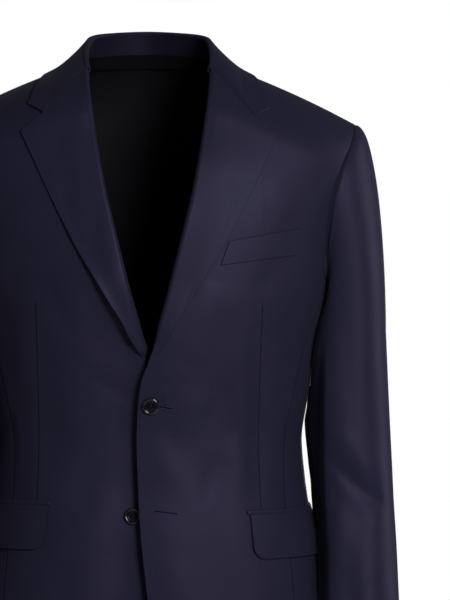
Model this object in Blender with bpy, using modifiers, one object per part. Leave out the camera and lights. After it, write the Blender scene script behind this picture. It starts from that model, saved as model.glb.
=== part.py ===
# A two-button suit, jacket and trousers, filled out as when it is worn.
# +X is the wearer's left, -Y is the front and +Z is up. The origin lies midway between the
# shoulders, at the height where the collar's edge crosses the shoulder seams.
# Sizes and tables are in millimetres, and MM turns them into metres when a mesh is made.

import math

import bpy
import numpy as np
from mathutils import Vector
from mathutils.bvhtree import BVHTree

MM = 0.001

# Cloth
CLOTH = 1.8           # wool, canvas and lining pressed together
TRIM = 1.2            # single cloth of a jet or the fly
SEAM_GAP = 0.3        # between pieces that are sewn edge to edge
LAYER_GAP = 0.5       # between a panel and what lies on it
HANG_SLOPE = 0.018    # the jacket hangs lower on the wearer's left, for each millimetre across
RIDGE_HANG = 0.005    # the same along the shoulders' ridge
HANG_DROP = 35        # height below the ridge over which the hang comes in

# Torso of the jacket
HEM_Z = -735
ARMPIT_FRONT_Z = -236
ARMPIT_BACK_Z = -226
ARMPIT_DIP = 18       # how far the armhole sinks between the side body's two seams
ROUNDNESS = 2.35      # of the torso's rings: 2 is an ellipse, more is squarer
RIDGE_Y = 5           # the shoulder seams' place from front to back
ROLL = 70             # height over which the chest turns to the shoulder's ridge
NECK_X, NECK_Z = 82, 12
NECK_CLEAR = 2.6      # the necklines stay this far outside the collar's stand
NECK_SOFT = 20
SHOULDER_X = 238
SHOULDER_SLOPE = 0.35
SHOULDER_BEND = 0.0006    # the shoulders fall more steeply outwards
ARMHOLE_TOP_Z = -75
NECK_BACK_Z = 16
NECK_SEAM = 2         # the back ends this far below the neckline
SHOULDER_TURNS = 3

# Fronts and lapels
FOLD_SETBACK = 4.6    # from the roll line to the edge of the front inside the fold
SETBACK_Z = (-338, -300)
GORGE_START_X, GORGE_TURN = 67, 39
GORGE_X = GORGE_START_X + FOLD_SETBACK
ROLL_START_Z = -327
RIGHT_UNDER = 6.4     # how far the right front is pressed in under the left one
LEFT_PROUD = 0.8
OVERLAP_X, OVERLAP_Z = (30, 95), (-235, -305)    # where the fronts ease out of their overlap
LAPEL_GAP = 1.2       # from a front to the lapel that lies on it
LAPEL_UNDER_GAP = 1.6    # from a front to the lapel's end inside the fold
LAPEL_BOW = {1: 2.0, -1: 5.0}    # how far the lower outer edge stands off, left and right
RIGHT_TUCK_Z = -340
RIGHT_ROLL_X = 4.5    # the right lapel's fold stays beside the left front's edge
LAPEL_LIFT = 2.5      # the soft roll stands off the front by this much
NOTCH_X, NOTCH_TURN = 118, 74.7
LAPEL_NOTCH, COLLAR_NOTCH = 0.7, 0.72    # how far along each piece's end the notch lies
LAPEL_TIP_X, LAPEL_TIP_Z = 143, -73
GORGE_GAP_TURN = 0.35
COLLAR_GAP = 0.8      # from the shoulders to the collar that lies on them
STAND_GAP = 1.5       # from the body's inside to the collar's stand
STAND_STUB = 2.0      # height of the stand where the collar meets the gorge
FOLD_RADIUS = (2.6, 3.55)
FOLD_LIFT = 0.35

# Pockets and buttons
POCKET_Z = -493
POCKET_X = 112
FLAP_LENGTH, FLAP_HEIGHT, FLAP_ROUND = 150, 51, 14
FLAP_FLARE = 0.8      # a flap's lower edge stands off by this much more
JET_HEIGHT, JET_END = 4.5, 2
BUTTON_RADIUS, BUTTON_HEIGHT = 9.5, 3.6
UPPER_BUTTON = (1.6, -376)
LOWER_BUTTON = (-18.4, -499)

# Sleeves
CAP_SIDE, CAP_FORWARD, CAP_RISE = (22, 80), 14, (10, 2)    # how the cap leaves the armhole
CAP_FALL = 1.05
SLEEVE_SQUARENESS = 2.25
SIDE_CLEAR, FLAP_CLEAR, CLEAR_Z = 2.5, 4.6, (-490, -460)
SIDE_TRIM = 1.7       # seam gaps taken off each long edge

# Trousers
WAIST_TOP, WAIST_SEAM = -385, -425
RISE_START_Z, CROTCH_Z = -545, -668
FLY_WIDTH, FLY_BOTTOM_Z = 36, -545
FLY_START, FLY_CURVE = 0.6, 0.45
FLY_GAP = 0.8
WAIST_OPENING = 0.005    # half the angle between the waistband's ends

# Rows of each piece
LOW_ROWS, HIGH_ROWS, BLEND_ROWS = 16, 8, 6
FRONT_COLUMNS, SIDE_COLUMNS = 8, 6
BACK_COLUMNS = (0, 36, 60, 73, 80, NECK_X + NECK_CLEAR, 125, 165, 203, SHOULDER_X)
NECK_COLUMN = 5
LAPEL_ROWS = 21
COLLAR_ROWS = 13
FRONT_SEAM_COLUMN = HIGH_ROWS + SHOULDER_TURNS
BACK_SEAM_COLUMN = FRONT_SEAM_COLUMN + SIDE_COLUMNS + 3


def smooth(at, keys, values):
    """Reads a curve through the keyed values that never overshoots them."""
    keys = np.asarray(keys, float)
    values = np.asarray(values, float)
    at = np.clip(at, keys[0], keys[-1])
    step = np.diff(keys)
    slope = np.diff(values) / step
    product = slope[:-1] * slope[1:]
    total = slope[:-1] + slope[1:]
    inner = np.where(product > 0, 2 * product / np.where(total == 0, 1, total), 0)
    tangent = np.concatenate([slope[:1], inner, slope[-1:]])
    i = np.clip(np.searchsorted(keys, at) - 1, 0, len(step) - 1)
    t = (at - keys[i]) / step[i]
    return (
        values[i] * (1 + 2 * t) * (1 - t) ** 2
        + values[i + 1] * t * t * (3 - 2 * t)
        + step[i] * (tangent[i] * t * (1 - t) ** 2 - tangent[i + 1] * t * t * (1 - t))
    )


class Table:
    """Rows of named columns, read at any value of the first column."""

    def __init__(self, names, *rows):
        self.names = names.split()
        self.rows = np.array(sorted(rows), float)

    def at(self, key, name):
        return smooth(key, self.rows[:, 0], self.rows[:, self.names.index(name)])


TORSO = Table(
    "z half_width front back",
    (-735, 205, 128, 135),
    (-620, 203, 128, 135),
    (-527, 190, 124, 121),
    (-458, 179, 118, 106),
    (-414, 175.5, 117, 101),
    (-374, 181, 121, 103),
    (-310, 190, 130, 113),
    (-250, 207, 136, 122),
    (-190, 219, 135, 126),
    (-120, 245, 126, 126),
    (-60, 264, 109, 119),
    (20, 270, 88, 95),
)
# The left edge of a front: its rounded quarter, the button stand and the roll line.
FRONT_EDGE = Table(
    "z x",
    (-735, 98),
    (-722, 58),
    (-700, 33),
    (-665, 15),
    (-630, 5.5),
    (-592, -1),
    (-559, -5),
    (-525, -8.5),
    (-499, -10.3),
    (-459, -12.2),
    (-414, -13.5),
    (-376, -12),
    (-348, -8),
    (-331, -2),
    (-312, 2.5),
    (-298, 6),
    (-253, 18.5),
    (-196, 33),
    (-148, 44.5),
    (-105, 53),
    (-62, 60),
    (-20, 65.5),
    (2, 67),
)
LAPEL_EDGE = Table(
    "z x",
    (-329, 4.5),
    (-300, 21.5),
    (-281, 31),
    (-262, 43),
    (-233, 61),
    (-205, 78),
    (-147, 108),
    (-125, 118.5),
    (-95, 132.5),
    (-73, 143),
)
ARMHOLE_FRONT = Table(
    "z x",
    (-236, 200),
    (-215, 200.5),
    (-190, 203.5),
    (-144, 212),
    (-110, 221),
    (-75, 231),
    (-60, 238),
)
ARMHOLE_BACK = Table(
    "z x",
    (-226, 191),
    (-190, 191.5),
    (-144, 199),
    (-110, 210),
    (-75, 227),
    (-60, 238),
)
SIDE_SEAMS = Table(
    "z front back",
    (-735, 62, 118),
    (-527, 63, 117),
    (-414, 66, 116),
    (-310, 70.5, 112),
    (-226, 76.2, 108.2),
)
# The collar from the centre of the back to the gorge: where it is sewn, where it folds and
# where its outer edge lies. A turn is the angle over the shoulder, negative at the back, and
# the bow is how far the fall swells out between its fold and its edge.
COLLAR = Table(
    "s seam_x seam_turn fold_x fold_y fold_z edge_x edge_turn bow",
    (0.00, 0, -43.4, 0, 72, 55, 0, -57, 4),
    (0.20, 38, -34.7, 37, 63, 52.8, 56, -44.6, 3.5),
    (0.38, 68, -21.2, 59, 40, 48.3, 92, -29, 0),
    (0.55, 81.5, 0, 67.5, 10, 41, 114, 0, -2.4),
    (0.75, 76.9, 23, 70, -28, 23.5, 126.5, 33, 0),
    (1.00, 72, 42, 68, -59, 3, 135.5, 59.3, 1),
)
SLEEVE = Table(
    "z inner outer middle half_depth",
    (-290, 186, 272, 0, 71),
    (-350, 180, 274.3, -4, 68),
    (-392, 180, 276, -8, 65),
    (-440, 184, 278, -13, 62),
    (-466, 187, 279, -16, 60),
    (-535, 192, 282.5, -27, 56),
    (-604, 196, 284.5, -40, 53),
    (-690, 199, 286, -58, 51),
)
SLEEVE_LEVELS = (-290, -325, -365, -405, -440, -480, -530, -590, -640, -690)
CAP_STEPS = (0, 0.035, 0.1, 0.2, 0.33, 0.5, 0.72)
TROUSERS = Table(
    "z side gap front back",
    (-385, 152, 0, 100, 90),
    (-425, 157, 0, 103, 93),
    (-480, 166, 0, 107, 104),
    (-545, 175, 0, 110, 117),
    (-600, 181, 0, 110, 122),
    (-668, 184, 0, 108, 118),
    (-700, 183, 1.5, 104, 112),
    (-800, 178, 6, 95, 101),
    (-1040, 160, 28, 79, 84),
    (-1300, 149, 36, 71, 77),
    (-1465, 147, 36, 69, 77),
)
TROUSER_LEVELS = (-425, -465, -505, -545)
RISE_ANGLES = (22, 42, 58, 70, 80, 90)
LEG_LEVELS = (-690, -740, -820, -930, -1040, -1160, -1310, -1465)
TROUSER_COLUMNS = 6

WOOL = ("navy_wool", (0.022, 0.021, 0.048), 0.85, 0.0)
HORN = ("navy_button", (0.012, 0.012, 0.022), 0.35, 0.0)


def unit(vectors):
    return vectors / np.linalg.norm(vectors, axis=-1, keepdims=True)


def fade(value, low, high):
    """0 at low, 1 at high and a soft step between."""
    t = np.clip((value - low) / (high - low), 0, 1)
    return t * t * (3 - 2 * t)


def mix(a, b, t):
    return a * (1 - t) + b * t


# The torso's surface. It is read by the angle from the front and the height, or over the
# shoulders by x and the turn, which is 0 on the ridge and 90 degrees where the roll ends.


def ridge_z(x):
    """Height of the shoulder's ridge, with a soft turn behind the neck."""
    fall = SHOULDER_SLOPE * (np.hypot(x, NECK_SOFT) - np.hypot(NECK_X, NECK_SOFT))
    return NECK_Z - fall - SHOULDER_BEND * np.maximum(np.abs(x) - NECK_X, 0) ** 2


def turn_at(x, z):
    return np.arccos(1 - np.clip((ridge_z(x) - z) / ROLL, 0, 1))


def height_at(x, turn):
    below = np.maximum(turn - math.pi / 2, 0)
    return ridge_z(x) - ROLL * (1 - np.cos(np.minimum(turn, math.pi / 2)) + below)


def ring_depth(x, z, ahead):
    width = TORSO.at(z, "half_width")
    depth = np.where(ahead, TORSO.at(z, "front"), TORSO.at(z, "back"))
    left = np.clip(1 - np.abs(x / width) ** ROUNDNESS, 0, 1)
    return depth * left ** (1 / ROUNDNESS)


def angle_at(x, z, ahead=True):
    """The angle from the front of the ring's point with this x."""
    depth = ring_depth(x, z, ahead)
    return np.arctan2(x, np.where(ahead, depth, -depth))


def torso(angle, z):
    angle, z = np.broadcast_arrays(np.asarray(angle, float), np.asarray(z, float))
    depth = np.where(np.cos(angle) > 0, TORSO.at(z, "front"), TORSO.at(z, "back"))
    across = np.abs(np.sin(angle) / TORSO.at(z, "half_width"))
    along = np.abs(np.cos(angle) / depth)
    reach = (across ** ROUNDNESS + along ** ROUNDNESS) ** (-1 / ROUNDNESS)
    x = reach * np.sin(angle)
    y = RIDGE_Y - (reach * np.cos(angle) + RIDGE_Y) * np.sin(turn_at(x, z))
    return np.stack([x, y, z], axis=-1)


def over_shoulder(x, turn, ahead):
    z = height_at(x, np.abs(turn))
    depth = ring_depth(x, z, ahead)
    full = np.where(ahead, -depth, depth) - RIDGE_Y
    y = RIDGE_Y + full * np.sin(np.clip(turn, -math.pi / 2, math.pi / 2))
    return np.stack(np.broadcast_arrays(x, y, z), axis=-1)


def torso_normal(angle, z):
    """Outward normals, shared by all the pieces that meet on this surface."""
    angle, z = np.broadcast_arrays(np.asarray(angle, float), np.asarray(z, float))
    point = torso(angle, z)
    x = point[..., 0]
    turn = turn_at(x, z)
    ahead = np.cos(angle) > 0
    e = 1e-3
    round_ring = torso(angle + e, z) - torso(angle - e, z)
    up_ring = torso(angle, z + e) - torso(angle, z - e)
    sideways = over_shoulder(x + e, turn, ahead) - over_shoulder(x - e, turn, ahead)
    over = over_shoulder(x, turn + e, ahead) - over_shoulder(x, turn - e, ahead)
    rolled = (turn < math.pi / 2 - 1e-6)[..., None]
    normal = unit(np.where(rolled, np.cross(sideways, over), np.cross(round_ring, up_ring)))
    outward = point - np.stack([x * 0.3, x * 0 + RIDGE_Y, ridge_z(x) - ROLL * 1.2], axis=-1)
    outward[..., 2] = np.where(rolled[..., 0], outward[..., 2], 0)
    flip = np.sum(normal * outward, axis=-1, keepdims=True) < 0
    return np.where(flip, -normal, normal)


def shoulder_point(x, degrees, lift):
    """A point over the shoulders, at a signed turn in degrees, moved out by lift."""
    turn = np.radians(np.abs(degrees))
    ahead = np.asarray(degrees) >= 0
    z = height_at(x, turn)
    angle = angle_at(x, z, ahead)
    return over_shoulder(x, turn, ahead) + torso_normal(angle, z) * np.asarray(lift)[..., None]


def closure(x, z, side):
    """How far a front lies out of the torso's surface where the two overlap."""
    near = (1 - fade(x, *OVERLAP_X)) * fade(z, *OVERLAP_Z)
    return near * (LEFT_PROUD if side > 0 else -RIGHT_UNDER)


def hang(points):
    """How far down the jacket hangs at each point."""
    x, z = points[..., 0], points[..., 2]
    return x * mix(RIDGE_HANG, HANG_SLOPE, fade(ridge_z(x) - z, 0, HANG_DROP))


def grid_normals(grid, closed=False):
    """Normals of a grid of points, by central differences."""
    down = np.gradient(grid, axis=0)
    if closed:
        across = (np.roll(grid, -1, axis=1) - np.roll(grid, 1, axis=1)) / 2
    else:
        across = np.gradient(grid, axis=1)
    return unit(np.cross(across, down))


# Meshes


def material(name, colour, roughness, metallic):
    found = bpy.data.materials.get(name)
    if found:
        return found
    made = bpy.data.materials.new(name)
    made.use_nodes = True
    shader = made.node_tree.nodes["Principled BSDF"]
    shader.inputs["Base Color"].default_value = (*colour, 1)
    shader.inputs["Roughness"].default_value = roughness
    shader.inputs["Metallic"].default_value = metallic
    made.diffuse_color = (*colour, 1)
    return made


def add_object(name, mesh, finish):
    mesh.materials.append(material(*finish))
    made = bpy.data.objects.new(name, mesh)
    bpy.data.collections["suit"].objects.link(made)
    return made


def wall(name, outer, inner, hangs=True, finish=WOOL):
    """A panel of cloth: a grid of points for each face and a rim between them."""
    rows, columns = outer.shape[:2]
    points = np.concatenate([outer.reshape(-1, 3), inner.reshape(-1, 3)])
    if hangs:
        points[:, 2] -= hang(points)
    index = np.arange(rows * columns).reshape(rows, columns)
    other = index + rows * columns
    faces = []
    for r in range(rows - 1):
        for c in range(columns - 1):
            corners = index[r, c], index[r, c + 1], index[r + 1, c + 1], index[r + 1, c]
            under = [corner + rows * columns for corner in corners]
            for i, j, k in halves_of(points[list(corners)]):
                faces.append((corners[i], corners[j], corners[k]))
                faces.append((under[k], under[j], under[i]))
    rim = [(index[0, c], other[0, c]) for c in range(columns)]
    rim += [(index[r, -1], other[r, -1]) for r in range(1, rows)]
    rim += [(index[-1, c], other[-1, c]) for c in range(columns - 2, -1, -1)]
    rim += [(index[r, 0], other[r, 0]) for r in range(rows - 2, 0, -1)]
    for (a, low_a), (b, low_b) in zip(rim, rim[1:] + rim[:1]):
        faces.append((b, a, low_a, low_b))
    if signed_volume(points, faces) < 0:
        faces = [face[::-1] for face in faces]
    mesh = bpy.data.meshes.new(name)
    mesh.from_pydata((points * MM).tolist(), [], [[int(i) for i in face] for face in faces])
    mesh.shade_smooth()
    mesh.set_sharp_from_angle(angle=math.radians(50))
    return add_object(name, mesh, finish)


def halves_of(corners):
    """The two triangles of a quad, split along its shorter diagonal."""
    first = np.linalg.norm(corners[0] - corners[2])
    second = np.linalg.norm(corners[1] - corners[3])
    return ((0, 1, 2), (0, 2, 3)) if first < second * 1.02 else ((1, 2, 3), (1, 3, 0))


def signed_volume(points, faces):
    total = 0.0
    for face in faces:
        a = points[face[0]]
        for i in range(1, len(face) - 1):
            total += np.dot(a, np.cross(points[face[i]], points[face[i + 1]]))
    return total


def sided(grid, side):
    """The grid on the wearer's left, or its mirror image for the right."""
    return grid * np.array([side, 1, 1])


def panel(name, outer, normals, side=1, hangs=True):
    inner = outer - normals * CLOTH
    return wall(name, sided(outer, side), sided(inner, side), hangs)


def side_name(side):
    return "left" if side > 0 else "right"


# Body of the jacket. Each function gives a grid of angles and heights on the torso.


def low_levels(top):
    return np.linspace(HEM_Z, top, LOW_ROWS + 1)


def front_left_edge(z, side=1):
    """x of a front's edge: behind the fold along the roll line, and the real edge below it."""
    edge = FRONT_EDGE.at(z, "x") + FOLD_SETBACK * fade(z, *SETBACK_Z)
    if side < 0:
        edge = np.where(z > RIGHT_TUCK_Z, np.maximum(edge, RIGHT_ROLL_X), edge)
    return edge


def high_steps():
    """Rows from the armpit's level to the gorge's, closer together towards the shoulder."""
    return 1 - (1 - np.arange(1, HIGH_ROWS + 1) / HIGH_ROWS) ** 1.4


def shoulder_turns():
    """Turns of the rows above the gorge, from the last straight row to the ridge."""
    return GORGE_TURN * (1 - np.arange(1, SHOULDER_TURNS + 1) / SHOULDER_TURNS)


def gap_turn():
    return SEAM_GAP / 2 / 95


def blended(low_angle, x, z, ahead, row):
    """Eases a row's spacing from even angles at the hem to even widths at the armhole."""
    near = fade(row, LOW_ROWS - BLEND_ROWS, LOW_ROWS)
    return mix(low_angle, angle_at(x, z, ahead), near)


def front_map(side=1):
    across = np.linspace(0, 1, FRONT_COLUMNS + 1)
    angles, heights = [], []
    for row, z in enumerate(low_levels(ARMPIT_FRONT_Z)):
        seam = math.radians(SIDE_SEAMS.at(z, "front"))
        seam_x = torso(seam, z)[0]
        trimmed = seam - SEAM_GAP / 2 / np.linalg.norm(torso(seam, z)[:2])
        edge_x = front_left_edge(z, side)
        even = mix(angle_at(edge_x, z), trimmed, across)
        angle = blended(even, mix(edge_x, seam_x, across), z, True, row)
        angle[-1] = trimmed
        angles.append(angle)
        heights.append(np.full(across.shape, z))
    gorge_z = height_at(GORGE_X, math.radians(GORGE_TURN))
    arm_x = ARMHOLE_FRONT.at(ARMHOLE_TOP_Z, "x")
    arm_z = height_at(arm_x, math.radians(GORGE_TURN))
    for step in high_steps():
        edge_z = mix(ARMPIT_FRONT_Z, gorge_z, step)
        hole_z = mix(ARMPIT_FRONT_Z, arm_z, step)
        x = mix(front_left_edge(edge_z), ARMHOLE_FRONT.at(hole_z, "x"), across)
        z = mix(edge_z, hole_z, across)
        angles.append(angle_at(x, z))
        heights.append(z)
    for step, turn in enumerate(shoulder_turns(), 1):
        done = step / SHOULDER_TURNS
        neck_x = mix(GORGE_X, NECK_X + NECK_CLEAR, done) + 2 * math.sin(math.pi * done)
        x = mix(neck_x, mix(arm_x, SHOULDER_X, done), across)
        z = height_at(x, max(math.radians(turn), gap_turn()))
        angles.append(angle_at(x, z))
        heights.append(z)
    return np.array(angles), np.array(heights)


def neckline_z(x):
    return mix(NECK_BACK_Z, NECK_Z, np.clip(x / NECK_X, 0, 1) ** 2) - NECK_SEAM


def back_map():
    across = np.array(BACK_COLUMNS) / SHOULDER_X
    angles, heights = [], []
    centre_gap = SEAM_GAP / 2
    for row, z in enumerate(low_levels(ARMPIT_BACK_Z)):
        seam = math.radians(SIDE_SEAMS.at(z, "back"))
        seam_x = torso(seam, z)[0]
        trimmed = seam + SEAM_GAP / 2 / np.linalg.norm(torso(seam, z)[:2])
        even = mix(angle_at(centre_gap, z, False), trimmed, across)
        angle = blended(even, mix(centre_gap, seam_x, across), z, False, row)
        angle[-1] = trimmed
        angles.append(angle)
        heights.append(np.full(across.shape, z))
    top_x = mix(centre_gap, SHOULDER_X, across)
    neck_turn = turn_at(top_x, neckline_z(top_x))
    top_turn = np.where(np.arange(len(across)) < NECK_COLUMN, neck_turn, gap_turn())
    arm_x = ARMHOLE_BACK.at(ARMHOLE_TOP_Z, "x")
    start_x = mix(centre_gap, arm_x, across)
    start_turn = np.hypot(top_turn, math.radians(GORGE_TURN))
    start_z = height_at(start_x, start_turn)
    for step in high_steps():
        hole_z = mix(ARMPIT_BACK_Z, height_at(arm_x, math.radians(GORGE_TURN)), step)
        x = mix(centre_gap, ARMHOLE_BACK.at(hole_z, "x"), across)
        z = mix(ARMPIT_BACK_Z, start_z, step)
        z[-1] = hole_z
        angles.append(angle_at(x, z, False))
        heights.append(z)
    for done in np.arange(1, SHOULDER_TURNS + 1) / SHOULDER_TURNS:
        x = mix(start_x, top_x, done)
        z = height_at(x, mix(start_turn, top_turn, done))
        angles.append(angle_at(x, z, False))
        heights.append(z)
    return np.array(angles), np.array(heights)


def side_map(trim=SEAM_GAP / 2):
    across = np.linspace(0, 1, SIDE_COLUMNS + 1)
    angles, heights = [], []
    fronts = low_levels(ARMPIT_FRONT_Z)
    backs = low_levels(ARMPIT_BACK_Z)
    for row, (front_z, back_z) in enumerate(zip(fronts, backs)):
        front = math.radians(SIDE_SEAMS.at(front_z, "front"))
        back = math.radians(SIDE_SEAMS.at(back_z, "back"))
        front += trim / np.linalg.norm(torso(front, front_z)[:2])
        back -= trim / np.linalg.norm(torso(back, back_z)[:2])
        dip = ARMPIT_DIP * (row / LOW_ROWS) ** 4
        angles.append(mix(front, back, across))
        heights.append(mix(front_z, back_z, across) - dip * np.sin(math.pi * across))
    return np.array(angles), np.array(heights)


def jacket_body():
    for side in (1, -1):
        angles, heights = front_map(side)
        points, normals = torso(angles, heights), torso_normal(angles, heights)
        lift = closure(points[..., 0], heights, side)[..., None]
        panel("front_" + side_name(side), points + normals * lift, normals, side)
    for name, (angles, heights) in (("side_", side_map()), ("back_", back_map())):
        for side in (1, -1):
            panel(
                name + side_name(side), torso(angles, heights), torso_normal(angles, heights), side
            )


# Lapels and collar


def gorge(t):
    """x and turn along the gorge and the notch: to the notch, then to a tip."""
    return np.array([mix(GORGE_START_X, NOTCH_X, t), mix(GORGE_TURN, NOTCH_TURN, t)])


def top_edge(t, tip_x, tip_turn, notch=LAPEL_NOTCH):
    along = gorge(np.minimum(t / notch, 1))
    past = np.clip((t - notch) / (1 - notch), 0, 1)
    return mix(along[0], tip_x, past), mix(along[1], tip_turn, past)


def lapel_plan(side):
    """x and z of the lapel's points, from the gorge down and from the fold outwards."""
    across = np.linspace(0, 1, 7)
    tip_turn = math.degrees(turn_at(LAPEL_TIP_X, LAPEL_TIP_Z))
    top_x, top_turn = top_edge(across, LAPEL_TIP_X, tip_turn)
    top_x[0], top_turn[0] = gorge(FOLD_SETBACK / (NOTCH_X - GORGE_START_X))
    top_z = height_at(top_x, np.radians(top_turn + GORGE_GAP_TURN * (across <= 0.75)))
    xs, zs = [], []
    for down in np.linspace(0, 1, LAPEL_ROWS + 1):
        roll_z = mix(top_z[0], ROLL_START_Z, down)
        edge_z = mix(LAPEL_TIP_Z, LAPEL_EDGE.rows[0, 0], down)
        roll_x = front_left_edge(roll_z, side)
        edge_x = max(LAPEL_EDGE.at(edge_z, "x"), roll_x + 4)
        straight_x, straight_z = mix(top_x[0], top_x[-1], across), mix(top_z[0], top_z[-1], across)
        kept = (1 - down) ** 9
        xs.append(mix(roll_x, edge_x, across) + (top_x - straight_x) * kept)
        zs.append(mix(roll_z, edge_z, across) + (top_z - straight_z) * kept)
    return np.array(xs), np.array(zs), across


def lapel(side):
    xs, zs, across = lapel_plan(side)
    down = np.linspace(0, 1, LAPEL_ROWS + 1)[:, None]
    angles = angle_at(xs, zs)
    base, normals = torso(angles, zs), torso_normal(angles, zs)
    proud = closure(xs, zs, side)
    near_fold = LAPEL_LIFT * (1 - across) ** 3 * fade(down, 1.02, 0.85)
    bow = LAPEL_BOW[side] * across ** 2 * fade(down, 0.35, 0.75) * fade(down, 1.0, 0.9)
    lift = LAPEL_GAP + CLOTH / 2 + near_fold + bow + proud
    flat = base + normals * lift[..., None]
    # The fold turns round the edge of the front and ends inside it.
    inside = -(CLOTH + LAPEL_UNDER_GAP + CLOTH / 2) + proud[:, :1]
    start = lift[:, :1]
    inward = unit(flat[:, 0] - flat[:, 1])[:, None, :]
    reach = FOLD_SETBACK - CLOTH / 2
    turns = np.radians([180, 144, 108, 72, 36])
    height = (start + inside) / 2 + (start - inside) / 2 * np.cos(turns)
    arc = (
        base[:, :1]
        + normals[:, :1] * height[..., None]
        + inward * (reach * np.sin(turns))[None, :, None]
    )
    middle = np.concatenate([arc, flat], axis=1)
    thick = grid_normals(middle)
    outer, inner = middle + thick * CLOTH / 2, middle - thick * CLOTH / 2
    wall("lapel_" + side_name(side), sided(outer, side), sided(inner, side))


def shoulder_tree():
    """The upper torso's surface, to keep the collar clear of it."""
    xs = np.linspace(0, 200, 81)
    degrees = np.linspace(-120, 110, 116)
    points = np.array([shoulder_point(xs, np.full(xs.shape, d), 0 * xs) for d in degrees])
    rows, columns = points.shape[:2]
    index = np.arange(rows * columns).reshape(rows, columns)
    quads = [
        (index[r, c], index[r, c + 1], index[r + 1, c + 1], index[r + 1, c])
        for r in range(rows - 1)
        for c in range(columns - 1)
    ]
    quads = [[int(i) for i in quad] for quad in quads]
    return BVHTree.FromPolygons(points.reshape(-1, 3).tolist(), quads)


def lifted_clear(point, tree, clearance):
    """The point, moved out to the clearance where it lies nearer than that to the torso."""
    nearest, normal, _, _ = tree.find_nearest(Vector(point))
    if normal.z < -0.2 or normal.dot(Vector((0.3 * point[0], point[1] - RIDGE_Y, 40))) < 0:
        normal = -normal
    height = (Vector(point) - nearest).dot(normal)
    if height >= clearance:
        return np.array(point)
    return np.array(nearest + normal * clearance)


def collar_half():
    """Middle surface of the collar, from the centre of the back to the gorge."""
    s = np.linspace(0, 1, COLLAR_ROWS)
    seam_x, seam_turn = COLLAR.at(s, "seam_x"), COLLAR.at(s, "seam_turn")
    fold = np.stack([COLLAR.at(s, name) for name in ("fold_x", "fold_y", "fold_z")], axis=-1)
    edge_x, edge_turn = COLLAR.at(s, "edge_x"), COLLAR.at(s, "edge_turn")
    rest = COLLAR_GAP + CLOTH / 2
    below = CLOTH + STAND_GAP + CLOTH / 2
    seam = shoulder_point(seam_x, seam_turn, np.full(s.shape, -below))
    edge = shoulder_point(edge_x, edge_turn, np.full(s.shape, rest))
    gap_turns = GORGE_GAP_TURN * 3
    start = [np.array(float(value)) for value in (GORGE_START_X, GORGE_TURN - gap_turns)]
    fold[-1] = shoulder_point(*start, np.array(FOLD_LIFT))
    up = unit(fold - (seam + edge) / 2)
    beside = gorge(0.05) - (0, gap_turns)
    up[-1] = unit(fold[-1] - shoulder_point(beside[0], beside[1], np.array(FOLD_LIFT)))
    along = np.gradient(fold, axis=0)
    along[0] = (1, 0, 0)
    out = unit(np.cross(up, along))
    out = np.where(np.sum(out * (edge - fold), axis=-1, keepdims=True) < 0, -out, out)
    out[-1] = unit(shoulder_point(*start, np.array(10.0)) - fold[-1])
    radius = mix(*FOLD_RADIUS, fade(s, 0.6, 1.0))[:, None]
    centre = fold - up * radius
    turns = np.radians([0, 45, 90, 135, 180])
    arc = np.stack(
        [centre - out * radius * math.cos(a) + up * radius * math.sin(a) for a in turns], axis=1
    )
    length = np.linalg.norm(seam - arc[:, 0], axis=-1)
    seam = np.where((length < STAND_STUB)[:, None], arc[:, 0] - up * STAND_STUB, seam)
    seam[-1] = arc[-1, 0] - up[-1] * STAND_STUB
    seam[-2] = mix(seam[-3], seam[-1], 0.5)
    stand = np.stack([seam, mix(seam, arc[:, 0], 0.5)], axis=1)
    across = np.array([0.2, 0.38, 0.55, COLLAR_NOTCH, 1.0])
    end_x, end_turn = top_edge(across, edge_x[-1], edge_turn[-1], COLLAR_NOTCH)
    end = shoulder_point(end_x, end_turn - gap_turns, np.full(across.shape, rest))
    tree = shoulder_tree()
    bows = COLLAR.at(s, "bow")
    last_chord = mix(arc[-1, -1], edge[-1], across[:, None])
    fall = []
    for i in range(len(s)):
        chord = mix(arc[i, -1], edge[i], across[:, None])
        row = chord + out[i] * (4 * across * (1 - across) * bows[i])[:, None]
        row = row + (end - last_chord) * fade(s[i], 0.35, 1.0) ** 2
        fall.append([lifted_clear(point, tree, rest) for point in row])
    return np.concatenate([stand, arc, np.array(fall)], axis=1)


def collar():
    half = collar_half()
    whole = np.concatenate([sided(half, -1)[:0:-1], half])
    thick = grid_normals(whole)
    wall("collar", whole + thick * CLOTH / 2, whole - thick * CLOTH / 2)


# Pockets


def laid_patch(name, angles, heights, side, lift, thickness):
    """A piece made from the torso's own points, moved out."""
    points, normals = torso(angles, heights), torso_normal(angles, heights)
    near = closure(points[..., 0], heights, side)
    inner = points + normals * (lift + near)[..., None]
    outer = inner + normals * thickness
    wall(name, sided(outer, side), sided(inner, side))


def angle_after(start, length, z):
    """The angle reached by going this far round the ring."""
    steps = start + np.linspace(0, 1.6, 400)
    travel = np.linalg.norm(np.diff(torso(steps, z), axis=0), axis=-1)
    return np.interp(length, np.concatenate([[0], np.cumsum(travel)]), steps)


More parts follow.
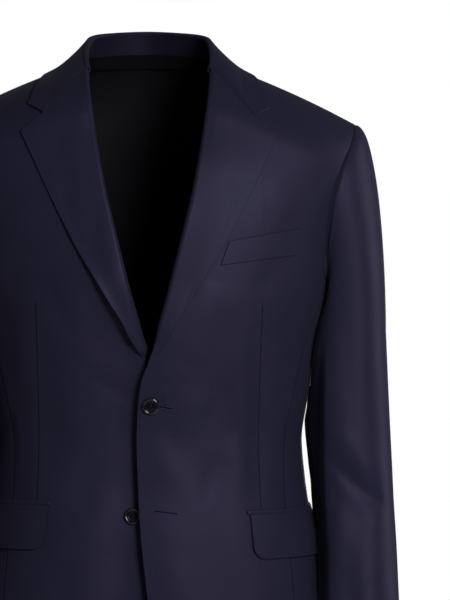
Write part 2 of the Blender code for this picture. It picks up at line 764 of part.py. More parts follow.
def pocket(side):
    start = angle_at(POCKET_X, POCKET_Z)
    rounds = FLAP_ROUND * np.array([0, 0.13, 0.5, 1])
    middle = np.linspace(FLAP_ROUND, FLAP_LENGTH - FLAP_ROUND, 11)[1:-1]
    lengths = np.concatenate([rounds, middle, FLAP_LENGTH - rounds[::-1]])
    corner = np.minimum(lengths, FLAP_LENGTH - lengths)
    corner = FLAP_ROUND - np.minimum(corner, FLAP_ROUND)
    bottom = FLAP_HEIGHT - FLAP_ROUND + np.sqrt(FLAP_ROUND ** 2 - corner ** 2)
    down = np.array([0, 0.35, 0.7, 1])[:, None]
    top = POCKET_Z - JET_HEIGHT - SEAM_GAP
    heights = top - bottom * down
    angles = np.array([angle_after(start, lengths, top)] * 4)
    lift = LAPEL_GAP + FLAP_FLARE * down + 0 * heights
    laid_patch("pocket_flap_" + side_name(side), angles, heights, side, lift, CLOTH)
    jet_start = start - JET_END / np.linalg.norm(torso(start, top)[:2])
    jet_angles = angle_after(jet_start, np.linspace(0, FLAP_LENGTH + 2 * JET_END, 13), top)
    angles = np.array([jet_angles] * 2)
    heights = np.array([[POCKET_Z], [POCKET_Z - JET_HEIGHT]]) + 0 * angles
    lift = np.full(heights.shape, LAPEL_GAP)
    laid_patch("pocket_jet_" + side_name(side), angles, heights, side, lift, TRIM)


BREAST_WELT = Table(
    "u top_x top_z bottom_x bottom_z",
    (0, 89, -192.5, 80, -218.6),
    (1, 168, -176.5, 164.5, -205.5),
)


def breast_welt():
    u = np.linspace(0, 1, 8)
    down = np.linspace(0, 1, 3)[:, None]
    x = mix(BREAST_WELT.at(u, "top_x"), BREAST_WELT.at(u, "bottom_x"), down)
    z = mix(BREAST_WELT.at(u, "top_z"), BREAST_WELT.at(u, "bottom_z"), down)
    lift = np.full(x.shape, LAYER_GAP)
    laid_patch("breast_welt", angle_at(x, z), z, 1, lift, CLOTH)


# Buttons


def button(name, place, side):
    """A turned button with a raised rim, on the outside of a front."""
    x, z = place
    mirrored = x * side
    angle = angle_at(mirrored, z)
    normal = torso_normal(angle, z) * (side, 1, 1)
    point = torso(angle, z) * (side, 1, 1)
    lift = closure(mirrored, z, side) + LAYER_GAP
    point = point + normal * lift
    point[2] -= hang(point)
    r, h = BUTTON_RADIUS, BUTTON_HEIGHT
    profile = (
        (0, h * 0.62),
        (r * 0.5, h * 0.64),
        (r * 0.62, h * 0.8),
        (r * 0.78, h),
        (r * 0.93, h * 0.9),
        (r, h * 0.55),
        (r * 0.9, h * 0.2),
        (r * 0.55, 0),
        (0, 0),
    )
    mesh = bpy.data.meshes.new(name)
    points = [(px * MM, 0, pz * MM) for px, pz in profile]
    mesh.from_pydata(points, [(i, i + 1) for i in range(len(points) - 1)], [])
    made = add_object(name, mesh, HORN)
    screw = made.modifiers.new("turned", "SCREW")
    screw.steps = 20
    screw.render_steps = 20
    screw.use_merge_vertices = True
    screw.merge_threshold = 0.00001
    screw.use_smooth_shade = True
    made.location = Vector(point * MM)
    made.rotation_euler = Vector(normal).to_track_quat("Z", "Y").to_euler()


# Trousers


def leg_ring(z, seam_angle):
    """The centre and half width of a leg's section, whose inner end is at the seam angle."""
    side, gap = TROUSERS.at(z, "side"), TROUSERS.at(z, "gap")
    spread = np.sin(seam_angle)
    return (side * spread + gap) / (1 + spread), (side - gap) / (1 + spread)


def trouser_point(angle, z, seam_angle):
    centre, half = leg_ring(z, seam_angle)
    depth = np.where(np.cos(angle) > 0, TROUSERS.at(z, "front"), TROUSERS.at(z, "back"))
    return np.stack(
        np.broadcast_arrays(centre + half * np.sin(angle), -depth * np.cos(angle), z), axis=-1
    )


def trouser_rows():
    """The height and the seam angle of each row, from the waist seam to the hem."""
    rows = [(z, 0.0) for z in TROUSER_LEVELS]
    fall = CROTCH_Z - RISE_START_Z
    rows += [(RISE_START_Z + fall * math.sin(math.radians(a)), math.radians(a)) for a in RISE_ANGLES]
    rows += [(z, math.pi / 2) for z in LEG_LEVELS]
    return rows


def trouser_grid(ahead, rows):
    across = np.linspace(0, 1, TROUSER_COLUMNS + 1)
    points, angles = [], []
    for z, seam_angle in rows:
        edge = SEAM_GAP / 2 / TROUSERS.at(z, "front" if ahead else "back")
        inner = -seam_angle + (edge if seam_angle > 1.56 else 0)
        angle = mix(inner, math.pi / 2 - edge, across)
        if not ahead:
            angle = math.pi - angle
        points.append(trouser_point(angle, z, seam_angle))
        angles.append(angle)
    return np.array(points), np.array(angles)


def trouser_normals(points, angles, rows):
    """Normals from each row's ellipse, tilted by the slope between rows."""
    heights = np.array([row[0] for row in rows])
    result = []
    for i, (z, seam_angle) in enumerate(rows):
        half = leg_ring(z, seam_angle)[1]
        cos = np.cos(angles[i])
        depth = np.where(cos > 0, TROUSERS.at(z, "front"), TROUSERS.at(z, "back"))
        flat = unit(np.stack([np.sin(angles[i]) / half, -cos / depth, 0 * cos], axis=-1))
        before, after = max(i - 1, 0), min(i + 1, len(rows) - 1)
        slope = (points[after] - points[before]) / (heights[after] - heights[before])
        slope = slope * np.array([1, 1, 0])
        flat[:, 2] = -np.clip(np.sum(flat * slope, axis=-1), -0.5, 0.5)
        result.append(unit(flat))
    return np.array(result)


def trousers():
    rows = trouser_rows()
    shift = np.array([SEAM_GAP / 2, 0, 0])
    for name, ahead in (("trouser_front_", True), ("trouser_back_", False)):
        points, angles = trouser_grid(ahead, rows)
        normals = trouser_normals(points, angles, rows)
        for side in (1, -1):
            panel(name + side_name(side), points + shift, normals, side, hangs=False)
    waistband()
    fly()


def waistband():
    angle = np.linspace(WAIST_OPENING, 2 * math.pi - WAIST_OPENING, 37)
    levels = np.array([WAIST_SEAM + SEAM_GAP, (WAIST_SEAM + WAIST_TOP) / 2, WAIST_TOP])
    outer = np.array([trouser_point(angle, z, 0.0) for z in levels])
    half = TROUSERS.at(WAIST_SEAM, "side")
    front, back = TROUSERS.at(WAIST_TOP, "front"), TROUSERS.at(WAIST_TOP, "back")
    depth = np.where(np.cos(angle) > 0, front, back)
    normal = unit(np.stack([np.sin(angle) / half, -np.cos(angle) / depth, 0 * angle], axis=-1))
    wall("waistband", outer, outer - normal[None] * CLOTH, hangs=False)


def fly():
    across = np.linspace(0, 1, 5)
    points = []
    for down in np.linspace(0, 1, 6):
        z = mix(WAIST_SEAM - 1, FLY_BOTTOM_Z, down)
        width = FLY_WIDTH * (1 - FLY_CURVE * down ** 4)
        angle = mix(FLY_START, width, across) / TROUSERS.at(z, "side")
        points.append(trouser_point(angle, z, 0.0))
    out = np.array([0, -1, 0])
    inner = np.array(points) + out * FLY_GAP
    wall("fly", inner + out * TRIM, inner, hangs=False)


# Sleeves


def armhole_loop():
    """Points and normals round the armhole, from the shoulder down the front and back up."""
    front_a, front_z = front_map()
    side_a, side_z = side_map(0.0)
    back_a, back_z = back_map()
    angles = [front_a[::-1, -1][: HIGH_ROWS + SHOULDER_TURNS], side_a[-1]]
    heights = [front_z[::-1, -1][: HIGH_ROWS + SHOULDER_TURNS], side_z[-1]]
    angles.append(back_a[LOW_ROWS + 1 : -1, -1])
    heights.append(back_z[LOW_ROWS + 1 : -1, -1])
    angle, z = np.concatenate(angles), np.concatenate(heights)
    return torso(angle, z), torso_normal(angle, z)


def side_clear(points):
    """Points moved out in x where they would touch the jacket's side or its flap."""
    y, z = points[..., 1], points[..., 2]
    gap = mix(FLAP_CLEAR, SIDE_CLEAR, fade(z, *CLEAR_Z))
    depth = np.where(y < 0, TORSO.at(z, "front"), TORSO.at(z, "back"))
    left = np.clip(1 - np.abs(y / depth) ** ROUNDNESS, 0, 1)
    limit = TORSO.at(z, "half_width") * left ** (1 / ROUNDNESS) + gap
    moved = points.copy()
    moved[..., 0] = np.maximum(points[..., 0], limit)
    return moved


def sleeve_section(z, fractions):
    """A level section of the sleeve: fraction 0 is its outer side, 0.25 its front."""
    turn = 2 * math.pi * fractions
    inner, outer = SLEEVE.at(z, "inner"), SLEEVE.at(z, "outer")
    half, deep = (outer - inner) / 2, SLEEVE.at(z, "half_depth")
    power = 2 / SLEEVE_SQUARENESS
    x = (inner + outer) / 2 + half * np.sign(np.cos(turn)) * np.abs(np.cos(turn)) ** power
    y = SLEEVE.at(z, "middle") - deep * np.sign(np.sin(turn)) * np.abs(np.sin(turn)) ** power
    return np.stack(np.broadcast_arrays(x, y, float(z)), axis=-1)


def sleeve_grid():
    loop, normals = armhole_loop()
    ahead = np.roll(loop, -1, axis=0) - np.roll(loop, 1, axis=0)
    away = unit(np.cross(normals, ahead))
    centre = loop.mean(axis=0)
    away = np.where(np.sum(away * (loop - centre), axis=-1, keepdims=True) > 0, -away, away)
    start = loop + away * SEAM_GAP * 2
    steps = np.linalg.norm(np.diff(np.concatenate([loop, loop[:1]]), axis=0), axis=-1)
    fractions = np.concatenate([[0], np.cumsum(steps)[:-1]]) / steps.sum()
    end = side_clear(sleeve_section(SLEEVE_LEVELS[0], fractions))
    turn = 2 * math.pi * fractions
    drop = np.linalg.norm(end - start, axis=-1)
    top = (1 + np.cos(turn)) / 2
    side, rise = mix(*CAP_SIDE, top ** 1.5), mix(*CAP_RISE, top)
    out = np.stack([side, -CAP_FORWARD * np.sin(turn), rise], axis=-1)
    down = np.stack([0 * drop, 0 * drop, -CAP_FALL * drop], axis=-1)
    rows = [start]
    for u in CAP_STEPS[1:]:
        row = (
            start * ((1 + 2 * u) * (1 - u) ** 2)
            + end * (u * u * (3 - 2 * u))
            + out * (u * (1 - u) ** 2)
            - down * (u * u * (1 - u))
        )
        rows.append(row)
    rows.append(end)
    for z in SLEEVE_LEVELS[1:]:
        rows.append(side_clear(sleeve_section(z, fractions)))
    return np.array(rows), normals


def sleeves():
    grid, first_normals = sleeve_grid()
    normals = grid_normals(grid, closed=True)
    centre = grid.mean(axis=1, keepdims=True)
    facing = np.sum(normals[4:] * (grid - centre)[4:], axis=-1).mean()
    if facing < 0:
        normals = -normals
    normals[0] = first_normals
    inner = grid - normals * CLOTH
    count = grid.shape[1]
    under = list(range(FRONT_SEAM_COLUMN, BACK_SEAM_COLUMN + 1))
    top = list(range(BACK_SEAM_COLUMN, count)) + list(range(0, FRONT_SEAM_COLUMN + 1))
    for name, columns in (("top_sleeve_", top), ("under_sleeve_", under)):
        outer_part, inner_part = grid[:, columns], inner[:, columns]
        outer_part, inner_part = trimmed_sides(outer_part, inner_part)
        for side in (1, -1):
            wall(name + side_name(side), sided(outer_part, side), sided(inner_part, side))


def trimmed_sides(outer, inner):
    """Draws the two long edges of a wall in from their seams."""
    outer, inner = outer.copy(), inner.copy()
    for edge, beside in ((0, 1), (-1, -2)):
        step = unit(outer[:, beside] - outer[:, edge]) * SEAM_GAP * SIDE_TRIM
        outer[:, edge] += step
        inner[:, edge] += step
    return outer, inner


def clear_scene():
    for old in list(bpy.data.objects):
        bpy.data.objects.remove(old, do_unlink=True)
    bpy.context.scene.collection.children.link(bpy.data.collections.new("suit"))


def main():
    clear_scene()
    jacket_body()
    for side in (1, -1):
        lapel(side)
        pocket(side)
    collar()
    breast_welt()
    sleeves()
    button("button_upper", UPPER_BUTTON, 1)
    button("button_lower", LOWER_BUTTON, -1)
    trousers()


main()
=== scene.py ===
# Looks for a two-button navy suit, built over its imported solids.
# Lengths in the dictionaries are millimetres; +X is the wearer's left and -Y the front.
import math

import bmesh
import bpy
import numpy as np
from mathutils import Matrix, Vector
from mathutils.bvhtree import BVHTree


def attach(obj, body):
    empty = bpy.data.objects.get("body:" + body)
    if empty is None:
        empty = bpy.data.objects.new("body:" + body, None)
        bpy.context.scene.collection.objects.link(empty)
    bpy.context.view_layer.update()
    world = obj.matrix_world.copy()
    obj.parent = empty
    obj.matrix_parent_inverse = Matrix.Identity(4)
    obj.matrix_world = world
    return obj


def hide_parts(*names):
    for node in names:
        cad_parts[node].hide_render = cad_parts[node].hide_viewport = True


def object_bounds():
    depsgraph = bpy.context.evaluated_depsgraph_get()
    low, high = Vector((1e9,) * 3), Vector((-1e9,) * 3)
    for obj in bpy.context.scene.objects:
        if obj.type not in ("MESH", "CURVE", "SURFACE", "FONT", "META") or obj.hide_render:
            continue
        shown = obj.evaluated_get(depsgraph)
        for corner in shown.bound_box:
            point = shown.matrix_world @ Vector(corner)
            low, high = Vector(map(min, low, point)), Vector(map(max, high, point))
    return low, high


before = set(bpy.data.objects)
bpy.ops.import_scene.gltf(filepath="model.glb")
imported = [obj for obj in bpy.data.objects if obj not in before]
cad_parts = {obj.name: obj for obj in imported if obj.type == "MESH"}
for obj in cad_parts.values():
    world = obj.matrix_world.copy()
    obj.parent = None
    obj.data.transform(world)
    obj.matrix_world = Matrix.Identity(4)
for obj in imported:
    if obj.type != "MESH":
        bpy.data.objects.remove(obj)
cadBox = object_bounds()
print("frame loaded")

mm = 0.001  # metres
hands = ((1, "left"), (-1, "right"))
cloth = {
    "thickness": 1.8, "seamGap": 0.3, "layerGap": 0.5, "edgeRoll": 0.55, "seamRoll": 0.19, "sharpEdge": 50,
    # seamMark, broadMark and farMark set the painted shade along seams and darts
    "seamDip": 0.15, "seamDipWidth": 1.2, "seamMark": 0.35, "broadMark": 0.25, "farMark": 50.0,
    "leastSide": 0.0105, "leastShare": 0.31,
}


# Curves through short tables

def readCurve(at, keys, values):
    keys, values = np.asarray(keys, float), np.asarray(values, float)
    at = np.clip(at, keys[0], keys[-1])
    step = np.diff(keys)
    slope = np.diff(values) / step
    product = slope[:-1] * slope[1:]
    total = slope[:-1] + slope[1:]
    inner = np.where(product > 0, 2 * product / np.where(total == 0, 1, total), 0)
    tangent = np.concatenate([slope[:1], inner, slope[-1:]])
    i = np.clip(np.searchsorted(keys, at) - 1, 0, len(step) - 1)
    t = (at - keys[i]) / step[i]
    return (values[i] * (1 + 2 * t) * (1 - t) ** 2 + values[i + 1] * t * t * (3 - 2 * t)
            + step[i] * (tangent[i] * t * (1 - t) ** 2 - tangent[i + 1] * t * t * (1 - t)))


class Table:
    # rows of named columns, read at any value of the first one
    def __init__(self, names, *rows):
        self.names = names.split()
        self.rows = np.array(sorted(rows), float)

    def at(self, key, name):
        return readCurve(key, self.rows[:, 0], self.rows[:, self.names.index(name)])


def unit(vectors):
    return vectors / np.maximum(np.linalg.norm(vectors, axis=-1, keepdims=True), 1e-9)


def fade(value, low, high):
    t = np.clip((value - low) / (high - low), 0, 1)
    return t * t * (3 - 2 * t)


def mix(a, b, t):
    return a * (1 - t) + b * t


def spaced(count, crowding=0.85):
    # fractions from 0 to 1, crowded towards both ends so that seams and edges turn crisply
    t = np.linspace(0, 1, count + 1)
    return t - crowding * np.sin(2 * math.pi * t) / (2 * math.pi)


# The torso's form: rings by height below, and a roll over the shoulders above

torsoShape = {
    "hem": -735, "armpitFront": -236, "armpitBack": -226, "armpitDip": 18, "roundness": 2.35,
    "ridgeY": 5, "roll": 70, "neckX": 82, "neckZ": 12, "neckSoft": 20, "neckClear": 2.6,
    "shoulderX": 238, "slope": 0.35, "bend": 0.0006, "neckBackZ": 16, "gorgeStart": 67, "gorgeTurn": 39,
    "hang": 0.018, "ridgeHang": 0.005, "hangDrop": 35, "armholeTop": -75, "leastTurn": 0.0016,
    "rings": Table(
        "z halfWidth front back",
        (-735, 205, 128, 135), (-620, 203, 128, 135), (-527, 190, 124, 121), (-458, 179, 118, 106),
        (-414, 175.5, 117, 101), (-374, 181, 121, 103), (-310, 190, 130, 113),
        (-250, 207, 136, 122), (-190, 219, 135, 126), (-120, 245, 126, 126), (-60, 264, 109, 119),
        (20, 270, 88, 95)),
    "sideSeams": Table(
        "z front back",
        (-735, 62, 118), (-527, 63, 117), (-414, 66, 116), (-310, 70.5, 112), (-226, 76.2, 108.2)),
    "armholeFront": Table(
        "z x", (-236, 200), (-215, 197.8), (-190, 199.6), (-144, 205.5), (-110, 215.5), (-75, 230),
        (-60, 236)),
    "armholeBack": Table(
        "z x", (-226, 191), (-190, 191.5), (-144, 199), (-110, 210), (-75, 227), (-60, 238)),
}
shape = torsoShape


def ridgeZ(x):
    soft, neck = shape["neckSoft"], shape["neckX"]
    fall = shape["slope"] * (np.hypot(x, soft) - np.hypot(neck, soft))
    return shape["neckZ"] - fall - shape["bend"] * np.maximum(np.abs(x) - neck, 0) ** 2


def turnAt(x, z):
    return np.arccos(1 - np.clip((ridgeZ(x) - z) / shape["roll"], 0, 1))


def heightAt(x, turn):
    below = np.maximum(turn - math.pi / 2, 0)
    return ridgeZ(x) - shape["roll"] * (1 - np.cos(np.minimum(turn, math.pi / 2)) + below)


def ringDepth(x, z, ahead):
    width = shape["rings"].at(z, "halfWidth")
    depth = np.where(ahead, shape["rings"].at(z, "front"), shape["rings"].at(z, "back"))
    left = np.clip(1 - np.abs(x / width) ** shape["roundness"], 0, 1)
    return depth * left ** (1 / shape["roundness"])


def angleAt(x, z, ahead=True):
    depth = ringDepth(x, z, ahead)
    return np.arctan2(x, np.where(ahead, depth, -depth))


def torso(angle, z):
    angle, z = np.broadcast_arrays(np.asarray(angle, float), np.asarray(z, float))
    power = shape["roundness"]
    ahead = np.cos(angle) > 0
    depth = np.where(ahead, shape["rings"].at(z, "front"), shape["rings"].at(z, "back"))
    across = np.abs(np.sin(angle) / shape["rings"].at(z, "halfWidth"))
    reach = (across ** power + np.abs(np.cos(angle) / depth) ** power) ** (-1 / power)
    x = reach * np.sin(angle)
    y = shape["ridgeY"] - (reach * np.cos(angle) + shape["ridgeY"]) * np.sin(turnAt(x, z))
    return np.stack([x, y, z], axis=-1)


def overShoulder(x, turn, ahead):
    z = heightAt(x, np.abs(turn))
    depth = ringDepth(x, z, ahead)
    full = np.where(ahead, -depth, depth) - shape["ridgeY"]
    y = shape["ridgeY"] + full * np.sin(np.clip(turn, -math.pi / 2, math.pi / 2))
    return np.stack(np.broadcast_arrays(x, y, z), axis=-1)


def torsoNormal(angle, z):
    angle, z = np.broadcast_arrays(np.asarray(angle, float), np.asarray(z, float))
    point = torso(angle, z)
    x = point[..., 0]
    turn = turnAt(x, z)
    ahead = np.cos(angle) > 0
    e = 1e-3
    roundRing = torso(angle + e, z) - torso(angle - e, z)
    upRing = torso(angle, z + e) - torso(angle, z - e)
    sideways = overShoulder(x + e, turn, ahead) - overShoulder(x - e, turn, ahead)
    over = overShoulder(x, turn + e, ahead) - overShoulder(x, turn - e, ahead)
    rolled = (turn < math.pi / 2 - 1e-6)[..., None]
    normal = unit(np.where(rolled, np.cross(sideways, over), np.cross(roundRing, upRing)))
    centre = np.stack([x * 0.3, x * 0 + shape["ridgeY"], ridgeZ(x) - shape["roll"] * 1.2], axis=-1)
    outward = point - centre
    outward[..., 2] = np.where(rolled[..., 0], outward[..., 2], 0)
    flip = np.sum(normal * outward, axis=-1, keepdims=True) < 0
    return np.where(flip, -normal, normal)


def shoulderPoint(x, degrees, lift):
    turn = np.radians(np.abs(degrees))
    ahead = np.asarray(degrees) >= 0
    z = heightAt(x, turn)
    base = overShoulder(x, turn, ahead)
    return base + torsoNormal(angleAt(x, z, ahead), z) * np.asarray(lift)[..., None]


def hangAt(points):
    # the jacket hangs lower on the wearer's left, less so along the shoulders' ridge
    x, z = points[..., 0], points[..., 2]
    return x * mix(shape["ridgeHang"], shape["hang"], fade(ridgeZ(x) - z, 0, shape["hangDrop"]))


# Soft troughs and ridges, each a stroke from one place to another on what faces the front or back

def strokes(x, z, facing, table):
    total = np.zeros(np.broadcast(x, z).shape)
    for x1, z1, x2, z2, width, height, where in table:
        run = np.hypot(x2 - x1, z2 - z1)
        t = np.clip(((x - x1) * (x2 - x1) + (z - z1) * (z2 - z1)) / run ** 2, 0, 1)
        distance = np.hypot(x - mix(x1, x2, t), z - mix(z1, z2, t))
        taper = 1 - (2 * t - 1) ** 4 * 0.75
        seen = fade(-where * facing, -0.1, 0.35)
        total += height * taper * np.exp(-(distance / width) ** 2) * seen
    return total


# Shells of cloth

def gridNormals(grid, closed=False):
    down = np.gradient(grid, axis=0)
    across = (np.roll(grid, -1, axis=1) - np.roll(grid, 1, axis=1)) / 2 if closed else np.gradient(grid, axis=1)
    return unit(np.cross(across, down))


def runs(grid):
    # distance along each row and down each column
    across = np.linalg.norm(np.diff(grid, axis=1), axis=-1)
    down = np.linalg.norm(np.diff(grid, axis=0), axis=-1)
    across = np.concatenate([np.zeros((len(grid), 1)), np.cumsum(across, axis=1)], axis=1)
    down = np.concatenate([np.zeros((1, grid.shape[1])), np.cumsum(down, axis=0)])
    return across, down


def fromSides(grid):
    # how far each place is from the left, right, top and bottom edges
    across, down = runs(grid)
    return {"l": across, "r": across[:, -1:] - across, "t": down, "b": down[-1:] - down}


def closest(distances, sides="lrtb"):
    return np.minimum.reduce([distances[side] for side in sides])


def dipped(grid, normals, sides):
    # sinks the cloth into the seams on these sides: l, r, t and b
    near = closest(fromSides(grid), sides) / cloth["seamDipWidth"]
    return grid - normals * (cloth["seamDip"] * np.exp(-near ** 2))[..., None]


def seamMarks(grid, sides, marks=None, broad=""):
    # distance to the nearest sewn edge or dart, along which the wool's colour is darkened as painted shade
    distances = fromSides(grid)
    near = np.full(grid.shape[:2], cloth["farMark"]) if marks is None else marks
    for side in sides:
        width = cloth["broadMark"] if side in broad else 1
        near = np.minimum(near, distances[side] * width + cloth["seamMark"])
    return near


def sided(grid, side):
    return grid * np.array([side, 1, 1])


def gridFaces(index):
    return np.stack([index[:-1, :-1], index[:-1, 1:], index[1:, 1:], index[1:, :-1]], axis=-1).reshape(-1, 4)


def placed(name, data):
    made = bpy.data.objects.new(name, data)
    bpy.context.scene.collection.objects.link(made)
    return made


def shell(name, outer, inner, finishes, hang=True, marks=None, free="", node=None):
    # one closed wall of cloth; free names the edges that aren't sewn and roll over softly
    rows, columns = outer.shape[:2]
    middle = (outer + inner) / 2
    out = np.zeros_like(middle)
    bulge = np.zeros((rows, columns))
    edges = {"t": ((0, slice(None)), (1, slice(None))), "b": ((-1, slice(None)), (-2, slice(None))),
             "l": ((slice(None), 0), (slice(None), 1)), "r": ((slice(None), -1), (slice(None), -2))}
    for side, (edge, beside) in edges.items():
        out[edge] += unit(middle[edge] - middle[beside])
        roll = cloth["edgeRoll"] if side in free else cloth["seamRoll"]
        bulge[edge] = np.maximum(bulge[edge], roll)
    rolled = middle + unit(out) * bulge[..., None]
    index = np.arange(rows * columns).reshape(rows, columns)
    rim = np.concatenate([index[0, :], index[1:, -1], index[-1, -2::-1], index[-2:0:-1, 0]])
    points = np.concatenate([outer.reshape(-1, 3), inner.reshape(-1, 3), rolled.reshape(-1, 3)[rim]])
    if hang:
        points[:, 2] -= hangAt(points)
    corners = gridFaces(index)
    count = rows * columns
    ring = count * 2 + np.arange(len(rim))
    after = np.roll(np.arange(len(rim)), -1)
    quads = [corners, corners[:, ::-1] + count,
             np.stack([rim[after], rim, ring, ring[after]], axis=-1),
             np.stack([ring[after], ring, rim + count, rim[after] + count], axis=-1)]
    faces = np.concatenate(quads)
    a, b, c, d = (points[faces[:, i]] for i in range(4))
    if np.einsum("ij,ij->i", a, np.cross(b, c) + np.cross(c, d)).sum() < 0:
        faces = faces[:, ::-1]
    mesh = bpy.data.meshes.new(name)
    mesh.from_pydata((points * mm).tolist(), [], faces.tolist())
    for finish in finishes:
        mesh.materials.append(finish)
    slots = np.zeros(len(faces), np.int32)
    slots[len(corners):len(corners) * 2] = 1
    mesh.polygons.foreach_set("material_index", slots)
    across, down = runs(middle)
    where = np.stack([across - across[:, columns // 2:columns // 2 + 1], -down], axis=-1).reshape(-1, 2)
    where = np.concatenate([where, where, where[rim]]) * mm
    layer = mesh.uv_layers.new(name="clothPlace")
    layer.data.foreach_set("uv", where[faces.ravel()].astype(np.float32).ravel())
    far = np.full(count, cloth["farMark"])
    mark = far if marks is None else marks.ravel()
    mark = np.concatenate([mark, far, mark[rim]])
    # the seamMark attribute carries the distance that sets the painted seam shade in the wool
    attribute = mesh.attributes.new("seamMark", "FLOAT", "POINT")
    attribute.data.foreach_set("value", mark.astype(np.float32))
    mesh.shade_smooth()
    mesh.set_sharp_from_angle(angle=math.radians(cloth["sharpEdge"]))
    mesh.update()
    made = placed(name, mesh)
    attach(made, "root")
    if node:
        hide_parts(node)
    return made


def cutSize(outer):
    # the flat width, length and area that a panel was cut to, in metres
    across, down = runs(outer)
    one = outer[1:, 1:] - outer[:-1, :-1]
    two = outer[1:, :-1] - outer[:-1, 1:]
    area = np.linalg.norm(np.cross(one, two), axis=-1).sum() / 2
    return across[:, -1].max() * mm, down[-1].max() * mm, area * 1e-6


cuts = {}


def declare(piece, outer):
    width, length, area = cutSize(outer)
    width, length = max(width, cloth["leastSide"]), max(length, cloth["leastSide"])
    area = min(max(area, cloth["leastShare"] * width * length), width * length)
    cuts[piece.name] = [round(float(v), 4) for v in (width, length, area)]


# Materials

class Wire:
    # a shader socket that takes part in Python sums
    def __init__(self, finish, socket):
        self.finish, self.socket = finish, socket

    def sum(self, operation, *values):
        return self.finish.node("ShaderNodeMath", {"operation": operation}, dict(enumerate(values)))

    def __add__(self, other):
        return self.sum("ADD", self, other)

    def __sub__(self, other):
        return self.sum("SUBTRACT", self, other)

    def __rsub__(self, other):
        return self.sum("SUBTRACT", other, self)

    def __mul__(self, other):
        return self.sum("MULTIPLY", self, other)

    __radd__ = __add__
    __rmul__ = __mul__


class Nodes:
    # adds nodes to the tree of a material or of the studio's light
    def __init__(self, tree):
        self.tree = tree

    def node(self, kind, settings=None, inputs=None, output=0):
        made = self.tree.nodes.new(kind)
        for key, value in (settings or {}).items():
            if key == "stops":
                ramp = made.color_ramp.elements
                for place, colour in value[1:-1]:
                    ramp.new(place).color = (*colour, 1)
                ramp[0].position, ramp[0].color = value[0][0], (*value[0][1], 1)
                ramp[-1].position, ramp[-1].color = value[-1][0], (*value[-1][1], 1)
            else:
                setattr(made, key, value)
        for key, value in (inputs or {}).items():
            self.feed(made.inputs[key], value)
        return Wire(self, made.outputs[output])

    def feed(self, socket, value):
        if isinstance(value, Wire):
            self.tree.links.new(value.socket, socket)
        elif isinstance(value, tuple) and len(value) == 3 and socket.type == "RGBA":
            socket.default_value = (*value, 1)
        else:
            socket.default_value = value


class Finish(Nodes):
    # a material in the making
    def __init__(self, name, **fixed):
        self.material = bpy.data.materials.new(name)
        self.material.use_nodes = True
        super().__init__(self.material.node_tree)
        self.shader = self.tree.nodes["Principled BSDF"]
        for socket, value in fixed.items():
            self.shader.inputs[socket.replace("_", " ")].default_value = value

    def set(self, socket, value):
        self.feed(self.shader.inputs[socket], value)

    def place(self):
        return self.node("ShaderNodeUVMap", {"uv_map": "clothPlace"})

    def axes(self, where):
        # the first two values of a place
        parts = self.node("ShaderNodeSeparateXYZ", {}, {0: where})
        return parts, Wire(self, parts.socket.node.outputs[1])

    def worked(self, operation, value):
        return self.node("ShaderNodeMath", {"operation": operation}, {0: value})

    def noise(self, where, scale, detail=2.0):
        return self.node("ShaderNodeTexNoise", {}, {"Vector": where, "Scale": scale, "Detail": detail})

    def blend(self, a, b, share):
        return self.node("ShaderNodeMix", {"data_type": "RGBA"}, {0: share, 6: a, 7: b}, 2)

    def steps(self, value, low, high):
        return self.node("ShaderNodeMapRange", {"interpolation_type": "SMOOTHSTEP"},
                         {"Value": value, "From Min": low, "From Max": high})

    def bump(self, height, distance, strength=1.0, below=None):
        inputs = {"Height": height, "Distance": distance, "Strength": strength}
        if below:
            inputs["Normal"] = below
        return self.node("ShaderNodeBump", {}, inputs)


woolLook = {"deep": (0.0112, 0.0106, 0.0228), "base": (0.015, 0.0142, 0.03), "light": (0.0197, 0.0186, 0.038),
            "twillPitch": 0.0011, "twillLean": 63, "twillDepth": 0.00006, "roughness": 0.46,
            "specular": 0.165, "gloss": (0.54, 0.5, 0.85, 1), "sheen": 0.04,
            "sheenTint": (0.62, 0.64, 0.9, 1), "seamShade": 0.2,
            "wanderScale": 900.0, "slubScale": 260.0, "cloudScale": 14.0}


